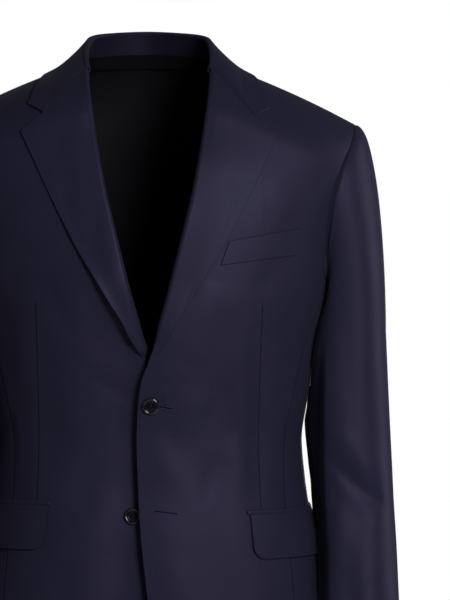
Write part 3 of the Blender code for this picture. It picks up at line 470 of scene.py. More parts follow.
def makeWool(name, look, tint=1.0):
    # a tint below 1 gives a darker and duller copy of the wool, painted shade for inner faces such as the
    # inside of the collar's stand
    finish = Finish(name, IOR=1.45, Specular_IOR_Level=look["specular"] * tint ** 2,
                    Specular_Tint=look["gloss"], Sheen_Weight=look["sheen"],
                    Sheen_Roughness=0.45, Sheen_Tint=look["sheenTint"])
    where = finish.place()
    u, v = finish.axes(where)
    lean = math.radians(look["twillLean"])
    turns = 2 * math.pi / look["twillPitch"]
    wander = finish.noise(where, look["wanderScale"], 1.0)
    phase = (u * math.cos(lean) + v * math.sin(lean)) * turns + wander * 3.0
    twill = finish.worked("SINE", phase) * 0.5 + 0.5
    cross = finish.worked("SINE", (u * math.sin(lean) - v * math.cos(lean)) * (turns * 1.7))
    weave = twill * (cross * 0.18 + 0.82)
    slub = finish.noise(where, look["slubScale"], 3.0)
    cloud = finish.noise(where, look["cloudScale"])
    tone = weave * 0.34 + slub * 0.4 + cloud * 0.26
    stops = [(place, tuple(c * tint for c in look[key]))
             for place, key in ((0.2, "deep"), (0.5, "base"), (0.82, "light"))]
    colour = finish.node("ShaderNodeValToRGB", {"stops": stops}, {0: tone})
    # painted shade: the base colour darkens along seams and darts, where shade would lie in the seams' grooves;
    # the roughness rises there too
    mark = finish.node("ShaderNodeAttribute", {"attribute_name": "seamMark"}, output=2)
    distance = finish.worked("ABSOLUTE", mark)
    line = 1 - finish.steps(distance, 0.3, 1.2)
    dark = tuple(c * look["seamShade"] for c in look["deep"])
    finish.set("Base Color", finish.blend(colour, dark, line * 0.85))
    finish.set("Roughness", slub * 0.16 + cloud * 0.12 + line * 0.4 + (look["roughness"] - 0.14))
    height = weave * 0.7 + slub * 0.5
    woven = finish.bump(height, look["twillDepth"], 0.8)
    groove = finish.steps(distance, 0.0, 2.2)
    finish.set("Normal", finish.bump(groove, 0.0003, 0.6, woven))
    return finish.material


liningLook = {"dark": (0.008, 0.008, 0.0105), "pale": (0.0135, 0.0132, 0.0168), "roughness": 0.85}
slitLook = {"dark": (0.0015, 0.0015, 0.002), "pale": (0.0025, 0.0025, 0.003), "roughness": 0.9}
# a near-black sheet on the lower band of the collar's stand: painted shade inside the neck
standShadeLook = {"dark": (0.002, 0.002, 0.0027), "pale": (0.0035, 0.0034, 0.0045), "roughness": 0.9}


def makeLining(name, look):
    finish = Finish(name, IOR=1.45, Specular_IOR_Level=0.05)
    where = finish.place()
    grain = finish.noise(where, 320.0)
    finish.set("Base Color", finish.blend(look["dark"], look["pale"], grain))
    finish.set("Roughness", grain * 0.12 + (look["roughness"] - 0.06))
    finish.set("Normal", finish.bump(grain, 0.00005, 0.5))
    return finish.material


hornLook = {"dark": (0.004, 0.004, 0.007), "streak": (0.011, 0.011, 0.018), "roughness": 0.3,
            "polished": (0.0061, 0.0068), "cloudScale": 190.0, "streakScale": 520.0}


def makeHorn(name, look):
    finish = Finish(name, IOR=1.5, Specular_IOR_Level=0.04, Coat_Roughness=0.09)
    where = finish.node("ShaderNodeTexCoord", output=3)
    x, y = finish.axes(where)
    radius = finish.worked("SQRT", x * x + y * y)
    finish.set("Coat Weight", finish.steps(radius, *look["polished"]))  # the rim outside this is polished
    cloud = finish.noise(where, look["cloudScale"], 4.0)
    streak = finish.node("ShaderNodeTexNoise", {},
                         {"Vector": where, "Scale": look["streakScale"], "Detail": 2.0, "Distortion": 1.5})
    share = finish.steps(cloud * 0.6 + streak * 0.4, 0.38, 0.72)
    finish.set("Base Color", finish.blend(look["dark"], look["streak"], share))
    finish.set("Roughness", streak * 0.14 + (look["roughness"] - 0.07))
    finish.set("Normal", finish.bump(streak, 0.00004, 0.4))
    return finish.material


threadLook = {"dark": (0.009, 0.009, 0.018), "pale": (0.04, 0.039, 0.066), "plyPitch": 0.0009}


def makeThread(name, look, tint=1.0):
    finish = Finish(name, Specular_IOR_Level=0.12, Sheen_Weight=0.05)
    where = finish.node("ShaderNodeTexCoord", output=3)
    ply = finish.node("ShaderNodeTexWave", {"bands_direction": "DIAGONAL"},
                      {"Vector": where, "Scale": 0.16 / look["plyPitch"], "Distortion": 0.8}, 1)
    dark, pale = (tuple(c * tint for c in look[key]) for key in ("dark", "pale"))
    finish.set("Base Color", finish.blend(dark, pale, ply))
    finish.set("Roughness", ply * 0.1 + 0.55)
    finish.set("Normal", finish.bump(ply, 0.0001, 0.6))
    return finish.material


wool = makeWool("navyWool", woolLook)
shadedWool = makeWool("woolShadedCopy", woolLook, 0.5)
lining = makeLining("darkLining", liningLook)
horn = makeHorn("darkHorn", hornLook)
thread = makeThread("navyThread", threadLook)
darkThread = makeThread("darkThread", threadLook, 0.3)
slitDark = makeLining("slitShade", slitLook)
standShade = makeLining("standShadeSheet", standShadeLook)
print("materials made")


# Body panels

frontLook = {
    "columns": 84, "lowRows": 150, "highRows": 48, "shoulderRows": 24,
    "foldSetback": 4.6, "rightUnder": 9.5, "leftProud": 5.5, "rightTuckZ": -340, "rightRollX": 4.5,
    "edge": Table(
        "z x",
        (-735, 98), (-722, 58), (-700, 33), (-665, 15), (-630, 5.5), (-592, -1), (-559, -5),
        (-525, -8.5), (-499, -10.3), (-459, -12.2), (-414, -13.5), (-376, -12), (-348, -8),
        (-331, -2), (-312, 2.5), (-298, 6), (-253, 18.5), (-196, 33), (-148, 44.5), (-105, 53),
        (-62, 60), (-20, 65.5), (2, 67)),
    "dart": Table("z x", (-495, 126), (-410, 123.5), (-340, 124.5), (-262, 126.5)),
    "dartTop": -262, "dartLow": -495,
}
# x z to x z, width, height, and -1 for the back or 1 for the front
bodyFolds = {
    1: [(2, -374, 17, -370, 9, -2.2, 1), (14, -346, 44, -334, 13, 0.9, 1),
        (24, -364, 70, -374, 14, 0.9, 1), (52, -210, 34, -262, 14, -0.9, 1),
        (70, -236, 46, -330, 20, 1.3, 1), (62, -398, 92, -352, 13, -1.0, 1),
        (22, -430, 66, -500, 18, 1.3, 1), (76, -430, 58, -492, 11, -1.0, 1),
        (132, -128, 164, -160, 20, 1.5, 1), (120, -250, 150, -214, 13, -1.1, 1),
        (84, -690, 70, -600, 15, 1.1, 1), (22, -600, 34, -700, 10, -1.0, 1),
        (150, -600, 158, -725, 14, -1.2, 1), (176, -600, 178, -725, 12, 1.0, 1),
        (104, -300, 101, -485, 11, 1.8, 1), (124, -300, 122, -485, 11, -1.6, 1),
        (146, -300, 148, -470, 13, 0.8, 1), (168, -250, 150, -380, 12, -1.6, 1),
        (186, -215, 172, -300, 10, 1.2, 1), (16, -392, 50, -470, 14, -0.9, 1),
        (40, -380, 96, -440, 22, 1.2, 1), (30, -545, 60, -690, 20, 0.9, 1),
        (96, -560, 104, -720, 16, -1.0, 1)],
    -1: [(22, -368, 62, -350, 8, -1.4, 1), (30, -346, 80, -322, 13, 1.0, 1),
         (40, -392, 90, -410, 16, 0.9, 1), (70, -300, 92, -244, 15, 1.1, 1),
         (96, -290, 112, -236, 11, -0.9, 1), (60, -430, 86, -486, 13, -1.1, 1),
         (128, -150, 150, -190, 18, 1.3, 1), (146, -220, 160, -250, 11, -1.2, 1),
         (44, -470, 70, -540, 17, 1.2, 1), (36, -600, 26, -700, 11, -1.0, 1),
         (150, -590, 156, -722, 13, -1.2, 1), (178, -600, 176, -722, 12, 1.0, 1),
         (110, -320, 106, -470, 12, -1.1, 1), (142, -290, 148, -450, 16, 1.1, 1),
         (165, -255, 148, -390, 12, -1.5, 1), (24, -520, 40, -680, 16, -0.9, 1),
         (60, -540, 80, -700, 20, 0.9, 1), (98, -560, 110, -725, 14, -0.9, 1)],
    0: [(60, -120, 150, -90, 20, -1.0, -1), (120, -200, 165, -140, 14, 1.2, -1),
        (150, -230, 120, -330, 14, -1.4, -1), (60, -380, 130, -420, 14, -1.5, -1),
        (40, -410, 120, -455, 14, 1.0, -1), (70, -560, 80, -720, 20, 1.0, -1),
        (130, -540, 136, -720, 16, -1.0, -1)],
}
closing = frontLook


def closureLift(x, z, side):
    high = 1 - fade(z, -305, -235)
    if side > 0:
        return closing["leftProud"] * (1 - fade(x, 8, 90)) * high
    return -closing["rightUnder"] * (1 - fade(x, 14, 115)) * high


def edgeX(z, side=1):
    edge = closing["edge"].at(z, "x") + closing["foldSetback"] * fade(z, -338, -300)
    if side < 0:
        edge = np.where(z > closing["rightTuckZ"], np.maximum(edge, closing["rightRollX"]), edge)
    return edge


def highSteps(count):
    return 1 - (1 - np.arange(1, count + 1) / count) ** 1.4


def lowRows(top, count):
    return mix(shape["hem"], top, spaced(count, 0.7))


def evened(lowAngle, x, z, ahead):
    return mix(lowAngle, angleAt(x, z, ahead), fade(z, -423, -236))


def seamAngle(z, name, trim):
    seam = math.radians(shape["sideSeams"].at(z, name))
    return seam, seam + trim / np.linalg.norm(torso(seam, z)[:2])


gorgeX = shape["gorgeStart"] + closing["foldSetback"]


def frontMap(side=1):
    look, turnEnd = frontLook, math.radians(shape["gorgeTurn"])
    across = spaced(look["columns"])
    angles, heights = [], []
    for z in lowRows(shape["armpitFront"], look["lowRows"]):
        seam, trimmed = seamAngle(z, "front", -cloth["seamGap"] / 2)
        start = edgeX(z, side)
        even = mix(angleAt(start, z), trimmed, across)
        angle = evened(even, mix(start, torso(seam, z)[0], across), z, True)
        angle[-1] = trimmed
        angles.append(angle)
        heights.append(np.full(across.shape, z))
    gorgeZ = heightAt(gorgeX, turnEnd)
    armX = shape["armholeFront"].at(shape["armholeTop"], "x")
    for _ in range(5):  # closes in on where the armhole meets the shoulder
        armX = shape["armholeFront"].at(heightAt(armX, turnEnd), "x")
    armZ = heightAt(armX, turnEnd)
    for step in highSteps(look["highRows"]):
        edgeZ = mix(shape["armpitFront"], gorgeZ, step)
        holeZ = mix(shape["armpitFront"], armZ, step)
        x = mix(edgeX(edgeZ), shape["armholeFront"].at(holeZ, "x"), across)
        z = mix(edgeZ, holeZ, across)
        angles.append(angleAt(x, z))
        heights.append(z)
    for done in np.arange(1, look["shoulderRows"] + 1) / look["shoulderRows"]:
        neckX = mix(gorgeX, shape["neckX"] + shape["neckClear"], done) + 2 * math.sin(math.pi * done)
        x = mix(neckX, mix(armX, shape["shoulderX"], done), across)
        z = heightAt(x, max(turnEnd * (1 - done), shape["leastTurn"]))
        angles.append(angleAt(x, z))
        heights.append(z)
    return np.array(angles), np.array(heights)


backLook = {"neckColumns": 26, "columns": 40, "lowRows": 150, "highRows": 48, "shoulderRows": 24}


def backMap():
    look = backLook
    neckEdge = (shape["neckX"] + shape["neckClear"]) / shape["shoulderX"]
    neck = np.linspace(0, 1, look["neckColumns"] + 1) ** 0.85 * neckEdge
    arm = mix(neckEdge, 1, 1 - (1 - np.linspace(0, 1, look["columns"] + 1)) ** 1.35)
    across = np.concatenate([neck[:-1], arm])
    angles, heights = [], []
    middle = cloth["seamGap"] / 2
    for z in lowRows(shape["armpitBack"], look["lowRows"]):
        seam, trimmed = seamAngle(z, "back", cloth["seamGap"] / 2)
        even = mix(angleAt(middle, z, False), trimmed, across)
        angle = evened(even, mix(middle, torso(seam, z)[0], across), z, False)
        angle[-1] = trimmed
        angles.append(angle)
        heights.append(np.full(across.shape, z))
    topX = mix(middle, shape["shoulderX"], across)
    neckline = mix(shape["neckBackZ"], shape["neckZ"], np.clip(topX / shape["neckX"], 0, 1) ** 2) - 2
    atNeck = np.arange(len(across)) < look["neckColumns"]
    topTurn = np.where(atNeck, turnAt(topX, neckline), shape["leastTurn"])
    armX = shape["armholeBack"].at(shape["armholeTop"], "x")
    startX = mix(middle, armX, across)
    turnEnd = math.radians(shape["gorgeTurn"])
    startTurn = np.hypot(topTurn, turnEnd)
    startZ = heightAt(startX, startTurn)
    for step in highSteps(look["highRows"]):
        holeZ = mix(shape["armpitBack"], heightAt(armX, turnEnd), step)
        x = mix(middle, shape["armholeBack"].at(holeZ, "x"), across)
        z = mix(shape["armpitBack"], startZ, step)
        z[-1] = holeZ
        angles.append(angleAt(x, z, False))
        heights.append(z)
    for done in np.arange(1, look["shoulderRows"] + 1) / look["shoulderRows"]:
        x = mix(startX, topX, done)
        z = heightAt(x, mix(startTurn, topTurn, done))
        angles.append(angleAt(x, z, False))
        heights.append(z)
    return np.array(angles), np.array(heights)


sideLook = {"columns": 30, "lowRows": 150}


def sideMap(trim):
    across = spaced(sideLook["columns"], 0.8)
    angles, heights = [], []
    fronts = lowRows(shape["armpitFront"], sideLook["lowRows"])
    backs = lowRows(shape["armpitBack"], sideLook["lowRows"])
    for frontZ, backZ in zip(fronts, backs):
        front = seamAngle(frontZ, "front", trim)[1]
        back = seamAngle(backZ, "back", -trim)[1]
        row = (frontZ - shape["hem"]) / (shape["armpitFront"] - shape["hem"])
        angles.append(mix(front, back, across))
        heights.append(mix(frontZ, backZ, across) - shape["armpitDip"] * row ** 4 * np.sin(math.pi * across))
    return np.array(angles), np.array(heights)


def bodyPanel(name, node, mapped, side, sewn, free, marks=None):
    angles, heights = mapped
    points, normals = torso(angles, heights), torsoNormal(angles, heights)
    x, facing = points[..., 0], normals[..., 1]
    lift = closureLift(x, heights, side) * (facing < 0) if name.startswith("front") else 0 * x
    folds = strokes(x, heights, facing, bodyFolds[side] + bodyFolds[0])
    distances = fromSides(points)
    lift = lift + folds * fade(closest(distances), 0, 12)
    inner = points + normals * (lift - cloth["thickness"])[..., None]
    outer = dipped(points + normals * lift[..., None], normals, sewn)
    # painted shade: the seam's dark line is broader along the armhole, for the shadow beside the sleeve head
    atArmhole = fade(heights, -252, -222) * fade(heights, -76, -96)  # where the seam's line is broader
    broad = distances["r"] * mix(1, 0.3, atArmhole)
    marks = np.minimum(seamMarks(points, sewn, marks), broad + cloth["seamMark"])
    piece = shell(name, sided(outer, side), sided(inner, side), (wool, lining), True, marks, free, node)
    declare(piece, outer)
    return piece


# painted shade: the distance to each dart's line, along which the wool's colour darkens
def dartMarks(mapped):
    angles, heights = mapped
    x = torso(angles, heights)[..., 0]
    slant = np.abs(np.cos(angles)) * 0.9 + 0.1
    away = (x - frontLook["dart"].at(heights, "x")) / slant
    past = np.maximum(heights - frontLook["dartTop"], frontLook["dartLow"] - heights)
    ended = np.sign(away) * (np.hypot(away, past) * 4 + 1.5)
    return np.clip(np.where(past > 0, ended, away), -50, 50)


def buildBody():
    backs, sides = backMap(), sideMap(cloth["seamGap"] / 2)
    for side, hand in hands:
        fronts = frontMap(side)
        bodyPanel("front" + hand.title(), "front_" + hand, fronts, side, "rt", "lb", dartMarks(fronts))
        bodyPanel("side" + hand.title(), "side_" + hand, sides, side, "lrb", "t")
        bodyPanel("back" + hand.title(), "back_" + hand, backs, side, "lrt", "b")
    print("body panels made")


# Lapels

lapelLook = {
    "rows": 120, "arcColumns": 14, "flatColumns": 40, "rollStartZ": -327, "notchX": 118,
    "notchTurn": 74.7, "tipX": 143, "tipZ": -73, "gap": 1.2, "gorgeGapTurn": 0.2,
    "edge": Table(
        "z x", (-329, 4.5), (-300, 21.5), (-281, 31), (-262, 43), (-233, 61), (-205, 78),
        (-147, 108), (-125, 118.5), (-95, 132.5), (-73, 143)),
    "foldLift": {1: 1.4, -1: 5.0}, "bow": {1: 1.6, -1: 4.5},  # by side, 1 for the wearer's left
    "stand": {1: 0.0, -1: 1.6}, "merge": {1: 0.86, -1: 0.95},
}
lapelFolds = {
    1: [(70, -40, 92, -130, 14, 0.8, 1), (60, -150, 40, -260, 10, -0.7, 1), (96, -110, 74, -200, 12, -0.6, 1)],
    -1: [(74, -40, 90, -120, 14, 0.9, 1), (66, -150, 44, -250, 12, -0.6, 1), (98, -90, 84, -190, 12, -0.7, 1)],
}


def gorgeLine(t):
    look = lapelLook
    x = mix(shape["gorgeStart"], look["notchX"], t)
    return np.array([x, mix(shape["gorgeTurn"], look["notchTurn"], t)])


def topEdge(t, tipX, tipTurn, notch=0.7):
    along = gorgeLine(np.minimum(t / notch, 1))
    past = np.clip((t - notch) / (1 - notch), 0, 1)
    return mix(along[0], tipX, past), mix(along[1], tipTurn, past)


def lapelPlan(side):
    look = lapelLook
    across = np.linspace(0, 1, look["flatColumns"] + 1)
    tipTurn = math.degrees(turnAt(look["tipX"], look["tipZ"]))
    topX, topTurn = topEdge(across, look["tipX"], tipTurn)
    first = gorgeLine(closing["foldSetback"] / (look["notchX"] - shape["gorgeStart"]))
    start = 1 - fade(across, 0, 0.17)
    topX = mix(topX, np.maximum(topX, first[0]), start)
    topTurn = mix(topTurn, np.maximum(topTurn, first[1]), start)
    topZ = heightAt(topX, np.radians(topTurn + look["gorgeGapTurn"] * (1 - fade(across, 0.68, 0.8))))
    xs, zs = [], []
    for down in spaced(look["rows"], 0.75):
        rollZ = mix(topZ[0], look["rollStartZ"], down)
        edgeZ = mix(look["tipZ"], look["edge"].rows[0, 0], down)
        rollX = edgeX(rollZ, side)
        outX = max(look["edge"].at(edgeZ, "x"), rollX + 4)
        straightX, straightZ = mix(topX[0], topX[-1], across), mix(topZ[0], topZ[-1], across)
        kept = (1 - down) ** 9
        xs.append(mix(rollX, outX, across) + (topX - straightX) * kept)
        zs.append(mix(rollZ, edgeZ, across) + (topZ - straightZ) * kept)
    return np.array(xs), np.array(zs), across


def buildLapel(side, hand):
    look = lapelLook
    xs, zs, across = lapelPlan(side)
    down = spaced(look["rows"], 0.75)[:, None]
    angles = angleAt(xs, zs)
    base, normals = torso(angles, zs), torsoNormal(angles, zs)
    proud = closureLift(xs, zs, side)
    nearFold = mix(look["foldLift"][1], look["foldLift"][side], fade(down, 0.2, 0.7))
    nearFold = nearFold * (1 - fade(across, 0, 0.9)) * fade(down, 1.02, 0.85)
    bow = look["bow"][side] * across * fade(down, 0.2, 0.75) * fade(down, 1.0, 0.88)
    bow = bow * (1 + look["stand"][side] * fade(down, 0.5, 0.85))
    folds = strokes(xs, zs, normals[..., 1], lapelFolds[side])
    folds = folds * fade(across, 0, 0.15) * (1 - fade(across, 0.8, 1))
    half = cloth["thickness"] / 2
    lift = look["gap"] + half + nearFold + bow + proud + folds
    ending = fade(down, look["merge"][side], 1.0)
    lift = mix(lift, proud - half - 0.3, ending)
    flat = base + normals * lift[..., None]
    inside = -(cloth["thickness"] + look["gap"] + 0.4 + half) + proud[:, :1]
    start = lift[:, :1]
    inward = unit(flat[:, 0] - flat[:, 3])[:, None, :]
    reach = (closing["foldSetback"] - half) * (1 - ending)
    turns = np.radians(np.linspace(180, 0, look["arcColumns"] + 1)[:-1])
    height = (start + inside) / 2 + (start - inside) / 2 * np.cos(turns)
    arc = base[:, :1] + normals[:, :1] * height[..., None] + inward * (reach * np.sin(turns))[..., None]
    middle = np.concatenate([arc, flat], axis=1)
    thick = gridNormals(middle)
    outer, inner = middle + thick * half, middle - thick * half
    if np.sum(thick[:, -1] * normals[:, -1]) < 0:
        outer, inner = inner, outer
    piece = shell("lapel" + hand.title(), sided(outer, side), sided(inner, side), (wool, wool),
                  True, None, "rtb", "lapel_" + hand)
    declare(piece, outer)


# Collar

collarLook = {
    "halfRows": 96, "steps": 13, "standColumns": 10, "arcColumns": 12, "fallColumns": 28, "tipColumns": 12,
    "notch": 0.72, "gapTurns": 0.4, "linedHeight": 0.3, "stub": 0.8, "foldRadius": (2.6, 3.55),
    "restEase": 0.3, "seamEase": 1.0, "endLift": 0.35,
    "line": Table(
        "s seamX seamTurn foldX foldY foldZ edgeX edgeTurn bow",
        (-0.2, -38, -34.7, -37, 63, 52.8, -56, -44.6, 3.5),
        (0.00, 0, -43.4, 0, 72, 55, 0, -57, 4),
        (0.20, 38, -34.7, 37, 63, 52.8, 56, -44.6, 3.5),
        (0.38, 68, -21.2, 59, 40, 48.3, 92, -29, 0),
        (0.55, 81.5, 0, 67.5, 10, 41, 114, 0, -2.4),
        (0.75, 76.9, 23, 70, -28, 23.5, 126.5, 33, 0),
        (1.00, 72, 42, 68, -59, 3, 135.5, 59.3, 1)),
}


def shoulderTree():
    xs = np.linspace(0, 200, 101)
    degrees = np.linspace(-120, 110, 146)
    points = np.array([shoulderPoint(xs, np.full(xs.shape, d), 0 * xs) for d in degrees])
    index = np.arange(points.shape[0] * points.shape[1]).reshape(points.shape[:2])
    quads = gridFaces(index)
    return BVHTree.FromPolygons(points.reshape(-1, 3).tolist(), quads.tolist())


def liftedClear(point, tree, clearance):
    nearest, normal, _, _ = tree.find_nearest(Vector(point))
    if normal.z < -0.2 or normal.dot(Vector((0.3 * point[0], point[1] - shape["ridgeY"], 40))) < 0:
        normal = -normal
    if (Vector(point) - nearest).dot(normal) >= clearance:
        return np.array(point)
    return np.array(nearest + normal * clearance)


def refined(grid, count):
    # a smooth curve down each column of a coarse grid
    chord = np.linalg.norm(np.diff(grid, axis=0), axis=-1).mean(axis=1) ** 0.6
    keys = np.concatenate([[0], np.cumsum(chord)])
    step = np.diff(keys)[:, None, None]
    slope = np.diff(grid, axis=0) / step
    inner = (slope[:-1] * step[1:] + slope[1:] * step[:-1]) / (step[1:] + step[:-1])
    tangent = np.concatenate([slope[:1], inner, slope[-1:]])
    at = np.linspace(0, keys[-1], count + 1)
    i = np.clip(np.searchsorted(keys, at) - 1, 0, len(step) - 1)
    span = step[i]
    t = (at - keys[i])[:, None, None] / span
    return (grid[i] * (1 + 2 * t) * (1 - t) ** 2 + grid[i + 1] * t * t * (3 - 2 * t)
            + span * (tangent[i] * t * (1 - t) ** 2 - tangent[i + 1] * t * t * (1 - t)))


def collarHalf():
    look, half = collarLook, cloth["thickness"] / 2
    s = np.linspace(0, 1, look["steps"])
    line = look["line"]
    rest = cloth["layerGap"] + half + look["restEase"]
    below = cloth["thickness"] + cloth["layerGap"] + half + look["seamEase"]
    fold = np.stack([line.at(s, name) for name in ("foldX", "foldY", "foldZ")], axis=-1)
    rimX, rimTurn = line.at(s, "edgeX"), line.at(s, "edgeTurn")
    seam = shoulderPoint(line.at(s, "seamX"), line.at(s, "seamTurn"), np.full(s.shape, -below))
    edge = shoulderPoint(rimX, rimTurn, np.full(s.shape, rest))
    gapTurns = look["gapTurns"]
    start = [np.array(float(value)) for value in (shape["gorgeStart"], shape["gorgeTurn"] - gapTurns)]
    endLift = np.array(look["endLift"])
    fold[-1] = shoulderPoint(*start, endLift)
    up = unit(fold - (seam + edge) / 2)
    beside = gorgeLine(0.05) - (0, gapTurns)
    up[-1] = unit(fold[-1] - shoulderPoint(beside[0], beside[1], endLift))
    along = np.gradient(fold, axis=0)
    along[0] = (1, 0, 0)
    out = unit(np.cross(up, along))
    out = np.where(np.sum(out * (edge - fold), axis=-1, keepdims=True) < 0, -out, out)
    out[-1] = unit(shoulderPoint(*start, np.array(10.0)) - fold[-1])
    radius = mix(*look["foldRadius"], fade(s, 0.6, 1.0))[:, None]
    centre = fold - up * radius
    turns = np.linspace(0, math.pi, look["arcColumns"] + 1)
    arc = np.stack([centre - out * radius * math.cos(a) + up * radius * math.sin(a) for a in turns], axis=1)
    length = np.linalg.norm(seam - arc[:, 0], axis=-1)
    stub = look["stub"]
    seam = np.where((length < stub)[:, None], arc[:, 0] - up * stub, seam)
    seam[-1] = arc[-1, 0] - up[-1] * stub
    seam[-2] = mix(seam[-3], seam[-1], 0.5)
    shares = np.linspace(0, 1, look["standColumns"] + 1)[:-1]
    stand = np.stack([mix(seam, arc[:, 0], t) for t in shares], axis=1)
    notch = look["notch"]
    across = np.concatenate([np.linspace(0, notch, look["fallColumns"] + 1)[1:],
                             np.linspace(notch, 1, look["tipColumns"] + 1)[1:]])
    endX, endTurn = topEdge(across, rimX[-1], rimTurn[-1], notch)
    end = shoulderPoint(endX, endTurn - gapTurns, np.full(across.shape, rest))
    bows, tree = line.at(s, "bow"), shoulderTree()
    exact = end - mix(arc[-1, -1], edge[-1], across[:, None])
    padded = np.concatenate([np.repeat(exact[:1], 4, axis=0), exact, np.repeat(exact[-1:], 4, axis=0)])
    soft = np.stack([np.convolve(padded[:, k], np.full(9, 1 / 9), "valid") for k in range(3)], axis=-1)
    fall = []
    for i in range(len(s)):
        bowed = out[i] * (4 * across * (1 - across) * bows[i])[:, None]
        row = mix(arc[i, -1], edge[i], across[:, None]) + bowed
        row = row + (exact if i == len(s) - 1 else soft) * fade(s[i], 0.35, 1.0) ** 2
        fall.append([liftedClear(point, tree, rest - 0.75 * a * a) for point, a in zip(row, across)])
    return np.concatenate([stand, arc, np.array(fall)], axis=1)


def buildCollar():
    look, half = collarLook, cloth["thickness"] / 2
    coarse = collarHalf()
    whole = np.concatenate([sided(coarse, -1)[:0:-1], coarse])
    middle = refined(whole, look["halfRows"] * 2)
    thick = gridNormals(middle)
    if np.sum(thick[len(thick) // 2, -4] * np.array([0, 1, 0.3])) < 0:
        thick = -thick
    outer, inner = middle + thick * half, middle - thick * half
    piece = shell("collar", outer, inner, (wool, wool, standShade, shadedWool), True, None, "rtb", "collar")
    rows, columns = middle.shape[0] - 1, middle.shape[1] - 1
    slots = np.zeros(len(piece.data.polygons), np.int32)
    piece.data.polygons.foreach_get("material_index", slots)
    height = middle[:-1, :-1, 2].ravel()
    inStand = np.tile(np.arange(columns), rows) <= look["standColumns"]
    seamZ = np.repeat(middle[:-1, 0, 2], columns)
    foldZ = np.repeat(middle[:-1, look["standColumns"] + 6, 2], columns)
    low = inStand & (height < mix(seamZ, foldZ, look["linedHeight"]))
    # painted shade: the inside of the stand takes the darker wool copy, and its lower band the near-black sheet
    slots[:rows * columns][inStand] = 3
    slots[:rows * columns][low] = 2
    piece.data.polygons.foreach_set("material_index", slots)
    declare(piece, outer)


# Pockets

pocketLook = {
    "z": {1: -492, -1: -485.5}, "slant": {1: 0.02, -1: -0.03},  # by side, 1 for the wearer's left
    "x": 112, "length": 150, "height": 49, "round": 14, "jet": 4.5, "gap": 1.2, "proud": 0.8,
    "belly": 0.9, "jetCloth": 1.2, "weltCloth": 1.5, "weltGap": 0.35,
}
weltLook = Table("u topX topZ bottomX bottomZ", (0, 89, -192.5, 80, -218.6), (1, 168, -176.5, 164.5, -205.5))


def angleAfter(start, length, z):
    steps = start + np.linspace(0, 1.6, 800)
    travel = np.linalg.norm(np.diff(torso(steps, z), axis=0), axis=-1)
    return np.interp(length, np.concatenate([[0], np.cumsum(travel)]), steps)


def laidPatch(name, node, angles, heights, side, lift, thickness, free):
    points, normals = torso(angles, heights), torsoNormal(angles, heights)
    folds = strokes(points[..., 0], heights, normals[..., 1], bodyFolds[side] + bodyFolds[0])
    near = closureLift(points[..., 0], heights, side) + folds
    inner = points + normals * (lift + near)[..., None]
    outer = inner + normals * thickness
    piece = shell(name, sided(outer, side), sided(inner, side), (wool, wool), True, None, free, node)
    declare(piece, outer)


def buildPocket(side, hand):
    look = pocketLook
    level, slant = look["z"][side], look["slant"][side]
    start = angleAt(look["x"], level)
    r, long = look["round"], look["length"]
    rounds = r * (1 - np.cos(np.linspace(0, math.pi / 2, 15)))
    middle = np.linspace(r, long - r, 50)[1:-1]
    lengths = np.concatenate([rounds, middle, long - rounds[::-1]])
    corner = r - np.minimum(np.minimum(lengths, long - lengths), r)
    bottom = look["height"] - r + np.sqrt(r ** 2 - corner ** 2)
    down = spaced(26, 0.6)[:, None]
    top = level - look["jet"] - cloth["seamGap"]
    heights = top - bottom * down + lengths * slant
    angles = np.array([angleAfter(start, lengths, top)] * len(down))
    ends = np.minimum(lengths, long - lengths)
    belly = look["belly"] * np.sin(math.pi * down) * fade(ends, 0, 30)
    lift = look["gap"] - 0.4 * (1 - down) + look["proud"] * down + belly
    laidPatch("pocketFlap" + hand.title(), "pocket_flap_" + hand, angles, heights, side, lift,
              cloth["thickness"], "lrb")
    jetLengths = np.linspace(-2, long + 2, 60)
    angles = np.array([angleAfter(start - 2 / 140, jetLengths + 2, top)] * 7)
    drop = spaced(6, 0.5)[:, None]
    heights = level - look["jet"] * drop + jetLengths * slant
    lift = look["gap"] - 0.6 + 0.5 * np.sin(math.pi * drop) + 0 * heights
    laidPatch("pocketJet" + hand.title(), "pocket_jet_" + hand, angles, heights, side, lift, look["jetCloth"],
              "lrtb")


def buildWelt():
    u, down = spaced(60, 0.8), spaced(20, 0.7)[:, None]
    x = mix(weltLook.at(u, "topX"), weltLook.at(u, "bottomX"), down)
    z = mix(weltLook.at(u, "topZ"), weltLook.at(u, "bottomZ"), down)
    lift = pocketLook["weltGap"] + 0.25 * np.sin(math.pi * down) * np.sin(math.pi * u)
    laidPatch("breastWelt", "breast_welt", angleAt(x, z), z, 1, lift, pocketLook["weltCloth"], "lrtb")


# Buttons, their thread and the buttonholes

buttonLook = {
    "radius": 9.5, "height": 3.6, "holeRadius": 1.05, "holeSpread": 2.1, "thread": 0.27, "threadApart": 0.34,
    "upper": (1.6, -376), "lower": (-18.4, -499),
    # shares of the radius and the height, from the middle of the back to the middle of the face
    "profile": ((0, 0), (0.5, 0), (0.82, 0.1), (0.95, 0.32), (1, 0.55), (0.985, 0.78), (0.93, 0.93), (0.85, 1),
                (0.76, 0.98), (0.69, 0.86), (0.64, 0.7), (0.58, 0.61), (0.4, 0.57), (0, 0.55)),
}


def addPiece(name, mesh, finish):
    mesh.materials.append(finish)
    mesh.shade_smooth()
    made = placed(name, mesh)
    return made


